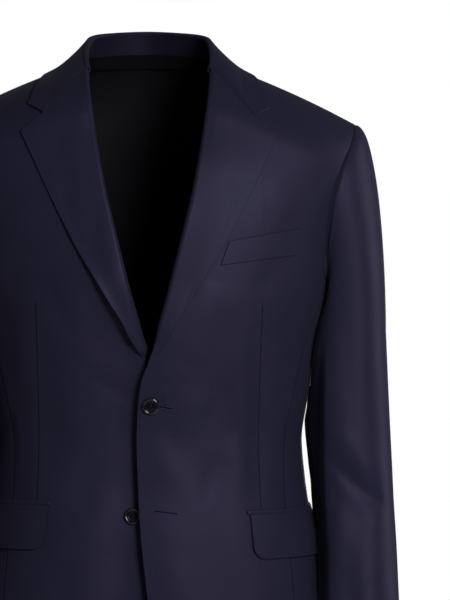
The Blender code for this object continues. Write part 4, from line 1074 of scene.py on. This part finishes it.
def tube(name, path, radius, finish, closed=False):
    curve = bpy.data.curves.new(name, "CURVE")
    curve.dimensions = "3D"
    curve.bevel_depth = radius * mm
    curve.bevel_resolution = 2
    curve.use_fill_caps = True
    spline = curve.splines.new("POLY")
    spline.points.add(len(path) - 1)
    for point, place in zip(spline.points, path):
        point.co = (*(np.asarray(place) * mm), 1)
    spline.use_cyclic_u = closed
    holder = placed(name + "Line", curve)
    mesh = bpy.data.meshes.new_from_object(holder.evaluated_get(bpy.context.evaluated_depsgraph_get()))
    bpy.data.objects.remove(holder)
    return addPiece(name, mesh, finish)


def lathed(profile, steps):
    turn = np.linspace(0, 2 * math.pi, steps, endpoint=False)
    made = bmesh.new()
    rings = []
    for r, h in profile:
        if r == 0:
            rings.append([made.verts.new((0, 0, h * mm))] * steps)
        else:
            rings.append([made.verts.new((r * math.cos(a) * mm, r * math.sin(a) * mm, h * mm)) for a in turn])
    for low, high in zip(rings, rings[1:]):
        for i in range(steps):
            j = (i + 1) % steps
            face = [low[i], low[j], high[j], high[i]]
            face = [v for k, v in enumerate(face) if v not in face[:k]]
            if len(face) > 2:
                made.faces.new(face)
    bmesh.ops.recalc_face_normals(made, faces=made.faces)
    mesh = bpy.data.meshes.new("lathed")
    made.to_mesh(mesh)
    made.free()
    return mesh


def facePoint(x, z, side, lift):
    angle = angleAt(x * side, z)
    normal = torsoNormal(angle, z) * (side, 1, 1)
    folds = strokes(np.array(x * side), np.array(z), np.array(normal[1]), bodyFolds[side] + bodyFolds[0])
    point = torso(angle, z) * (side, 1, 1) + normal * (closureLift(x * side, z, side) + folds + lift)
    point[2] -= hangAt(point)
    return point, normal


def buildButton(name, node, place, side):
    look = buttonLook
    point, normal = facePoint(*place, side, cloth["layerGap"])
    r, h = look["radius"], look["height"]
    profile = [(r * across, h * up) for across, up in look["profile"]]
    body = addPiece(name, lathed(profile, 72), horn)
    holes, spread, bore = [], look["holeSpread"], look["holeRadius"]
    for i in range(4):
        a = math.radians(45 + 90 * i)
        cutter = placed("cutter", lathed([(0, -2), (bore, -2), (bore, 6), (0, 6)], 24))
        cutter.location = (spread * math.cos(a) * mm, spread * math.sin(a) * mm, 0)
        holes.append(cutter)
        cut = body.modifiers.new("hole", "BOOLEAN")
        cut.operation, cut.solver, cut.object = "DIFFERENCE", "EXACT", cutter
    graph = bpy.context.evaluated_depsgraph_get()
    mesh = bpy.data.meshes.new_from_object(body.evaluated_get(graph))
    body.modifiers.clear()
    body.data = mesh
    for cutter in holes:
        bpy.data.objects.remove(cutter)
    mesh.shade_smooth()
    mesh.set_sharp_from_angle(angle=math.radians(40))
    turned = Vector(normal).to_track_quat("Z", "Y")
    body.location, body.rotation_mode = Vector(point * mm), "QUATERNION"
    body.rotation_quaternion = turned
    bpy.context.view_layer.update()
    spread = spread * math.sqrt(0.5)
    for i, (x1, y1, x2, y2) in enumerate(((-1, -1, 1, 1), (-1, 1, 1, -1))):
        for offset in (-look["threadApart"], look["threadApart"]):
            t = np.linspace(0, 1, 13)
            side1 = np.array([y1 - y2, x2 - x1]) / 2.83 * offset
            xs = mix(x1, x2, t) * spread + side1[0]
            ys = mix(y1, y2, t) * spread + side1[1]
            zs = h * 0.55 + 0.25 + (0.55 + 0.3 * i) * np.sin(math.pi * t) - 1.6 * (np.abs(2 * t - 1) > 0.97)
            path = np.stack([xs, ys, zs], axis=-1)
            strand = tube(f"{name}Thread{i}{int(offset > 0)}", path, look["thread"], darkThread)
            strand.parent = body
    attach(body, "root")
    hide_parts(node)
    return body


buttonholeLook = {"cord": 0.34, "cordLift": 0.3, "slit": 0.6, "slitLift": -0.25}
buttonholes = {
    "upper": {"start": (9.5, -376.4), "end": (25.5, -378.6), "half": 1.3},
    "lower": {"start": (6, -493.6), "end": (31, -496.0), "half": 1.45},
}


def buildButtonhole(name, start, end, half):
    # thread worked round a slit, laid on the left front
    start, end = np.array(start), np.array(end)
    ahead = unit(end - start)
    beside = np.array([-ahead[1], ahead[0]])
    turns = np.linspace(-math.pi / 2, math.pi / 2, 9)
    ring = [end + half * (ahead * math.cos(a) + beside * math.sin(a)) for a in turns]
    ring += [mix(end, start, t) + half * beside for t in np.linspace(0.04, 0.96, 26)]
    ring += [start - half * (ahead * math.cos(a) + beside * math.sin(a)) for a in turns]
    ring += [mix(start, end, t) - half * beside for t in np.linspace(0.04, 0.96, 26)]
    look = buttonholeLook
    path = np.array([facePoint(x, z, 1, look["cordLift"])[0] for x, z in ring])
    worked = tube(name, path, look["cord"], thread, closed=True)
    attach(worked, "root")
    # a near-black tube along the slit: painted shade in the opening
    slit = [mix(start, end, t) for t in np.linspace(0, 1, 24)]
    path = np.array([facePoint(x, z, 1, look["slitLift"])[0] for x, z in slit])
    inner = tube(name + "Slit", path, look["slit"], slitDark)
    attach(inner, "root")


# Sleeves

sleeveLook = {
    "capRows": 46, "rows": 104, "hollow": 22, "seat": 2.6, "capEnd": -290, "cuff": -690,
    "flapGap": 4.6, "sideGap": 2.5, "forearmEase": 3.2,
    "line": Table(
        "z inner outer middle halfDepth corner",
        (-290, 186, 272, 0, 71, 199), (-350, 180, 274.3, -4, 68, 197), (-392, 180, 276, -8, 65, 196.5),
        (-440, 184, 278, -13, 62, 196.5), (-466, 187, 279, -16, 60, 197), (-535, 189.5, 282.5, -27, 56, 200),
        (-604, 187, 284.5, -40, 53, 201), (-690, 199, 286, -58, 51, 208)),
}
sleeveFolds = {
    1: [(205, -436, 263, -488, 10, -3.8, 1), (198, -456, 250, -510, 22, -3.0, 1),
        (214, -410, 268, -456, 14, 1.4, 1), (206, -520, 240, -580, 22, 1.6, 1),
        (222, -160, 216, -330, 14, -0.6, 1), (218, -360, 222, -420, 12, 0.8, 1),
        (250, -500, 248, -660, 14, 1.3, 1), (222, -520, 228, -680, 11, -1.4, 1),
        (272, -480, 276, -600, 12, -1.0, 1), (262, -130, 246, -260, 16, 1.5, -1),
        (214, -300, 250, -340, 14, -1.8, -1), (206, -400, 262, -420, 12, -1.6, -1),
        (210, -430, 268, -446, 12, 1.8, -1), (206, -460, 262, -482, 12, -1.4, -1),
        (236, -520, 246, -660, 16, 1.2, -1)],
    -1: [(204, -430, 260, -474, 7, -3.8, 1), (210, -412, 266, -452, 9, 2.6, 1),
         (204, -448, 244, -496, 10, 2.6, 1), (238, -130, 236, -300, 14, 1.5, 1),
         (262, -160, 266, -320, 9, -1.3, 1), (220, -170, 216, -320, 12, -1.2, 1),
         (246, -500, 252, -650, 14, 1.2, 1), (222, -530, 226, -670, 11, -1.3, 1),
         (258, -120, 244, -250, 16, 1.5, -1), (210, -310, 246, -352, 14, -1.6, -1),
         (208, -408, 262, -430, 12, -1.7, -1), (210, -438, 264, -458, 12, 1.6, -1),
         (238, -530, 244, -650, 16, 1.2, -1)],
}


def armholeLoop():
    frontAngles, frontHeights = frontMap()
    sideAngles, sideHeights = sideMap(0.0)
    backAngles, backHeights = backMap()
    upper = frontLook["highRows"] + frontLook["shoulderRows"]
    low = backLook["lowRows"]
    angle = np.concatenate([frontAngles[::-1, -1][:upper], sideAngles[-1], backAngles[low + 1:-1, -1]])
    z = np.concatenate([frontHeights[::-1, -1][:upper], sideHeights[-1], backHeights[low + 1:-1, -1]])
    frontSeam = upper
    backSeam = upper + sideLook["columns"] + round(backLook["highRows"] * 3 / 8)
    return torso(angle, z), torsoNormal(angle, z), frontSeam, backSeam


def sideClear(points):
    # keeps a sleeve clear of the jacket's side and its flap
    look = sleeveLook
    y, z = points[..., 1], points[..., 2]
    gap = mix(look["flapGap"], look["sideGap"], fade(z, -490, -460)) - look["forearmEase"] * fade(z, -528, -543)
    depth = np.where(y < 0, shape["rings"].at(z, "front"), shape["rings"].at(z, "back"))
    left = np.clip(1 - np.abs(y / depth) ** shape["roundness"], 0, 1)
    limit = shape["rings"].at(z, "halfWidth") * left ** (1 / shape["roundness"]) + gap
    moved = points.copy()
    moved[..., 0] = np.maximum(points[..., 0], limit)
    return moved


def sleeveSection(z, fractions):
    turn = 2 * math.pi * fractions
    line = sleeveLook["line"]
    inner, outer = line.at(z, "inner"), line.at(z, "outer")
    half, deep = (outer - inner) / 2, line.at(z, "halfDepth")
    across, ahead = np.cos(turn), np.sin(turn)
    power = np.where((across < 0) & (ahead > 0), 2 / 3.0, 2 / 2.25)
    x = (inner + outer) / 2 + half * np.sign(across) * np.abs(across) ** power
    forward = deep * np.sign(ahead) * np.abs(ahead) ** power
    hollow = sleeveLook["hollow"] * fade(-z, 300, 370) * fade(line.at(z, "corner") - x, -1.5, 4.5)
    y = line.at(z, "middle") - forward + hollow * fade(forward, 0, 24)
    return np.stack(np.broadcast_arrays(x, y, float(z)), axis=-1)


def easedRing(ring, reach=5, times=2):
    # the mean of each place and its neighbours round a closed ring
    for _ in range(times):
        ring = sum(np.roll(ring, step, axis=0) for step in range(-reach, reach + 1)) / (2 * reach + 1)
    return ring


def sleeveGrid():
    loop, normals, frontSeam, backSeam = armholeLoop()
    ahead = np.roll(loop, -1, axis=0) - np.roll(loop, 1, axis=0)
    away = unit(np.cross(normals, ahead))
    centre = loop.mean(axis=0)
    away = np.where(np.sum(away * (loop - centre), axis=-1, keepdims=True) > 0, -away, away)
    start = loop + away * cloth["seamGap"] * 2
    steps = np.linalg.norm(np.diff(np.concatenate([loop, loop[:1]]), axis=0), axis=-1)
    fractions = np.concatenate([[0], np.cumsum(steps)[:-1]]) / steps.sum()
    end = sideClear(sleeveSection(sleeveLook["capEnd"], fractions))
    turn = 2 * math.pi * fractions
    drop = np.linalg.norm(end - start, axis=-1)
    top = (1 + np.cos(turn)) / 2
    out = np.stack([mix(22, 80, top ** 1.5), -14 * np.sin(turn), mix(10, 2, top)], axis=-1)
    down = np.stack([0 * drop, 0 * drop, -1.05 * drop], axis=-1)
    rows = [start]
    for u in np.linspace(0, 1, sleeveLook["capRows"] + 1)[1:-1] ** 1.5:
        row = (start * ((1 + 2 * u) * (1 - u) ** 2) + end * (u * u * (3 - 2 * u))
               + out * (u * (1 - u) ** 2) - down * (u * u * (1 - u)))
        rows.append(mix(row, easedRing(row), fade(u, 0, 0.08) * fade(u, 1, 0.6)))
    rows.append(end)
    for z in np.linspace(sleeveLook["capEnd"], sleeveLook["cuff"], sleeveLook["rows"] + 1)[1:]:
        rows.append(sideClear(sleeveSection(z, fractions)))
    return np.array(rows), normals, frontSeam, backSeam


def trimmedSides(outer, inner):
    outer, inner = outer.copy(), inner.copy()
    for edge, beside in ((0, 1), (-1, -2)):
        step = unit(outer[:, beside] - outer[:, edge]) * cloth["seamGap"] * 0.5
        outer[:, edge] += step
        inner[:, edge] += step
    return outer, inner


def buildSleeves():
    grid, firstNormals, frontSeam, backSeam = sleeveGrid()
    normals = gridNormals(grid, closed=True)
    centre = grid.mean(axis=1, keepdims=True)
    if np.sum(normals[8:] * (grid - centre)[8:], axis=-1).mean() < 0:
        normals = -normals
    blend = fade(np.arange(len(grid)), 0, 5)[:, None, None]
    normals = unit(mix(firstNormals[None], normals, blend))
    distances = fromSides(grid)
    inset = fade(closest(distances, "tb"), 0, 14)
    columns = {
        "under": np.arange(frontSeam, backSeam + 1),
        "top": np.concatenate([np.arange(backSeam, grid.shape[1]), np.arange(0, frontSeam + 1)]),
    }
    for side, hand in hands:
        folds = strokes(grid[..., 0], grid[..., 2], normals[..., 1], sleeveFolds[side]) * inset
        folds = folds * fade(normals[..., 0], -0.9, -0.35)
        seat = sleeveLook["seat"] * fade(-grid[:1, :, 2], 66, 110) * fade(-grid[:1, :, 1], -20, 10)
        folds = folds - seat * (1 - fade(distances["t"], 0.3, 4.5))
        shaped = grid + normals * folds[..., None]
        inner = shaped - normals * cloth["thickness"]
        for part, chosen in columns.items():
            outerPart, innerPart = trimmedSides(shaped[:, chosen], inner[:, chosen])
            # the marks darken the wool along the sleeve's seams as painted shade, broadest at the armhole
            marks = seamMarks(outerPart, "lrt", broad="t")
            marks = marks + 3 * fade(outerPart[..., 2], -92, -74)  # no line over the shoulder
            outerPart = dipped(outerPart, normals[:, chosen], "lrt")
            piece = shell(part + "Sleeve" + hand.title(), sided(outerPart, side), sided(innerPart, side),
                          (wool, lining), True, marks, "b", part + "_sleeve_" + hand)
            declare(piece, outerPart)
    print("sleeves made")


# Trousers

trouserLook = {
    "columns": 46, "riseRows": 40, "crotchRows": 22, "legRows": 110, "riseStart": -545, "crotch": -668,
    "waistTop": -385, "waistSeam": -425, "hem": -1465, "flyWidth": 36, "flyBottom": -545,
    "pressed": 1.6, "pressedWidth": 3.2, "flyGap": 0.8, "flyCloth": 1.2,
    "line": Table(
        "z side gap front back",
        (-385, 152, 0, 100, 90), (-425, 157, 0, 103, 93), (-480, 166, 0, 107, 104),
        (-545, 175, 0, 110, 117), (-600, 181, 0, 110, 122), (-668, 184, 0, 108, 118),
        (-700, 183, 1.5, 104, 112), (-800, 178, 6, 95, 101), (-1040, 160, 28, 79, 84),
        (-1300, 149, 36, 71, 77), (-1465, 147, 36, 69, 77)),
}
trouserFolds = {
    1: [(40, -620, 90, -690, 10, -1.8, 1), (30, -640, 70, -700, 10, 1.4, 1),
        (110, -1010, 70, -1060, 14, -1.6, 1), (120, -980, 80, -1020, 14, 1.2, 1),
        (60, -1400, 120, -1420, 11, 1.8, 1), (64, -1422, 118, -1440, 9, -1.6, 1),
        (30, -650, 100, -720, 14, -2.0, -1), (70, -1020, 120, -1050, 14, -1.8, -1),
        (60, -1050, 124, -1076, 13, 1.4, -1)],
    -1: [(44, -616, 96, -684, 11, -1.6, 1), (30, -650, 66, -704, 10, 1.4, 1),
         (104, -1020, 70, -1064, 14, -1.5, 1), (66, -1396, 122, -1424, 11, 1.7, 1),
         (70, -1420, 116, -1444, 9, -1.5, 1), (34, -656, 104, -716, 14, -1.9, -1),
         (72, -1030, 120, -1046, 14, -1.7, -1)],
}


def legRing(z, seam):
    line = trouserLook["line"]
    side, gap = line.at(z, "side"), line.at(z, "gap")
    spread = np.sin(seam)
    return (side * spread + gap) / (1 + spread), (side - gap) / (1 + spread)


def trouserPoint(angle, z, seam):
    centre, half = legRing(z, seam)
    line = trouserLook["line"]
    depth = np.where(np.cos(angle) > 0, line.at(z, "front"), line.at(z, "back"))
    return np.stack(np.broadcast_arrays(centre + half * np.sin(angle), -depth * np.cos(angle), z), axis=-1)


def trouserRows():
    look = trouserLook
    rows = [(z, 0.0) for z in np.linspace(look["waistSeam"], look["riseStart"], look["riseRows"] + 1)]
    for turn in np.linspace(0, math.pi / 2, look["crotchRows"] + 1)[1:]:
        rows.append((mix(look["riseStart"], look["crotch"], math.sin(turn)), turn))
    rows += [(z, math.pi / 2) for z in np.linspace(look["crotch"], look["hem"], look["legRows"] + 1)[1:]]
    return rows


def buildTrousers():
    look, line = trouserLook, trouserLook["line"]
    rows = trouserRows()
    across = spaced(look["columns"], 0.75)
    for word, ahead in (("Front", True), ("Back", False)):
        grid, angles = [], []
        for z, seam in rows:
            edge = cloth["seamGap"] / 2 / line.at(z, "front" if ahead else "back")
            angle = mix(-seam + (edge if seam > 1.56 else 0), math.pi / 2 - edge, across)
            angle = angle if ahead else math.pi - angle
            grid.append(trouserPoint(angle, z, seam))
            angles.append(angle)
        grid, angles = np.array(grid) + (cloth["seamGap"] / 2, 0, 0), np.array(angles)
        normals = gridNormals(grid)
        facing = -1 if ahead else 1
        if np.mean(normals[..., 1]) * facing < 0:
            normals = -normals
        z = grid[..., 2]
        centre = np.array([legRing(height, seam)[0] for height, seam in rows])[:, None]
        crease = np.exp(-((grid[..., 0] - centre - 2) / look["pressedWidth"]) ** 2)
        pressed = look["pressed"] * crease * fade(-z, 480, 640)
        distances = fromSides(grid)
        inset = fade(closest(distances, "tb"), 0, 18) * fade(closest(distances, "lr"), 0, 14)
        for side, hand in hands:
            folds = strokes(grid[..., 0], z, normals[..., 1], trouserFolds[side]) * inset
            shaped = grid + normals * (folds + pressed)[..., None]
            inner = shaped - normals * cloth["thickness"]
            outer = dipped(shaped, normals, "lrt")
            # the marks darken the wool along the trousers' seams as painted shade
            marks = seamMarks(shaped, "lrt")
            piece = shell("trouser" + word + hand.title(), sided(outer, side), sided(inner, side),
                          (wool, shadedWool), False, marks, "b", "trouser_" + word.lower() + "_" + hand)
            declare(piece, outer)
    print("trousers made")


def buildWaistband():
    look, line = trouserLook, trouserLook["line"]
    slit = 0.005
    angle = np.linspace(slit, 2 * math.pi - slit, 241)
    levels = mix(look["waistSeam"] + cloth["seamGap"], look["waistTop"], spaced(14, 0.7))
    outer = np.array([trouserPoint(angle, z, 0.0) for z in levels])
    depth = np.where(np.cos(angle) > 0, 100, 90)
    wide = line.at(look["waistSeam"], "side")
    normal = unit(np.stack([np.sin(angle) / wide, -np.cos(angle) / depth, 0 * angle], axis=-1))
    inner = outer - normal[None] * cloth["thickness"]
    sunk = dipped(outer, normal[None] + 0 * outer, "t")
    piece = shell("waistband", sunk, inner, (wool, shadedWool), False, None, "lrb", "waistband")
    declare(piece, outer)


def buildFly():
    look = trouserLook
    rows, points = np.linspace(look["waistSeam"] - 1, look["flyBottom"], 40), []
    for i, z in enumerate(rows):
        width = look["flyWidth"] * (1 - 0.45 * (i / 39) ** 4)
        angle = mix(0.6, width, spaced(20, 0.7)) / look["line"].at(z, "side")
        points.append(trouserPoint(angle, z, 0.0))
    inner = np.array(points) + np.array([0, -1, 0]) * look["flyGap"]
    outer = inner + np.array([0, -1, 0]) * look["flyCloth"]
    piece = shell("fly", outer, inner, (wool, wool), False, None, "lrb", "fly")
    declare(piece, outer)


# The stage: a pale floor, soft light from the viewer's right, and the camera

stageLook = {
    "pixel": 0.00115, "distance": 3.5, "height": -0.259, "axisPixel": 149.0, "photo": (450, 600),
    "ambient": 0.05, "backdrop": 1.0, "floor": (0.8, 0.8, 0.8), "floorReach": 4, "floorGap": 0.001,
    "aim": (0.05, 0, -0.35),
    "lights": [  # name, place, size, watts and colour
        ("frontLight", (1.0, -2.4, 0.4), (0.8, 0.9), 48.0, (1.0, 0.99, 0.98)),
        ("keyLight", (2.1, -1.9, 1.0), (0.8, 0.8), 12.0, (1.0, 0.985, 0.97)),
        ("rimLight", (2.2, 0.7, 0.1), (0.3, 2.0), 14.0, (0.8, 0.74, 1.0)),
        ("fillLight", (-2.6, -2.4, 0.2), (1.6, 2.0), 4.0, (0.96, 0.98, 1.0)),
        ("backLight", (0.3, 3.2, -0.8), (1.6, 1.6), 20.0, (1.0, 1.0, 1.0)),
    ],
}


def buildStage():
    look = stageLook
    width, height = look["photo"]
    camera = bpy.data.cameras.new("photoView")
    camera.sensor_width = 36
    camera.lens = camera.sensor_width * look["distance"] / (height * look["pixel"])
    camera.shift_x = (width / 2 - look["axisPixel"]) / height
    camera.clip_end = 60
    holder = placed("photoView", camera)
    holder.location = (0, -look["distance"], look["height"])
    holder.rotation_euler = (math.pi / 2, 0, 0)
    bpy.context.scene.camera = holder
    for name, place, size, power, colour in look["lights"]:
        light = bpy.data.lights.new(name, "AREA")
        light.shape, light.size, light.size_y = "RECTANGLE", size[0], size[1]
        light.energy, light.color = power, colour
        lamp = placed(name, light)
        lamp.location = place
        lamp.rotation_euler = (Vector(look["aim"]) - Vector(place)).to_track_quat("-Z", "Y").to_euler()
    world = bpy.data.worlds.new("studio")
    world.use_nodes = True
    studio = Nodes(world.node_tree)
    straight = studio.node("ShaderNodeLightPath")  # 1 where the camera sees the backdrop itself
    strength = studio.node("ShaderNodeMapRange", {},
                           {"Value": straight, "To Min": look["ambient"], "To Max": look["backdrop"]})
    background = studio.tree.nodes["Background"]
    studio.feed(background.inputs["Color"], (1, 1, 1, 1))
    studio.feed(background.inputs["Strength"], strength)
    bpy.context.scene.world = world
    bpy.context.scene.view_settings.view_transform = "Standard"
    mesh = bpy.data.meshes.new("floor")
    reach, low = look["floorReach"], cadBox[0][2] - look["floorGap"]
    corners = [(x * reach, y * reach, low) for x, y in ((-1, -1), (1, -1), (1, 1), (-1, 1))]
    mesh.from_pydata(corners, [], [(0, 1, 2, 3)])
    finish = Finish("paleFloor", Roughness=0.9)
    finish.set("Base Color", look["floor"])
    mesh.materials.append(finish.material)
    floor = placed("floor", mesh)
    print("stage set")


buildStage()
buildBody()
for handSide, handName in hands:
    buildLapel(handSide, handName)
    buildPocket(handSide, handName)
buildCollar()
buildWelt()
print("lapels, collar and pockets made")
buildSleeves()
buildButton("buttonUpper", "button_upper", buttonLook["upper"], 1)
buildButton("buttonLower", "button_lower", buttonLook["lower"], -1)
for holeName, hole in buttonholes.items():
    buildButtonhole("buttonhole" + holeName.title(), **hole)
print("buttons and buttonholes made")
buildTrousers()
buildWaistband()
buildFly()
print("flat cuts in metres, as width, length and area:", cuts)
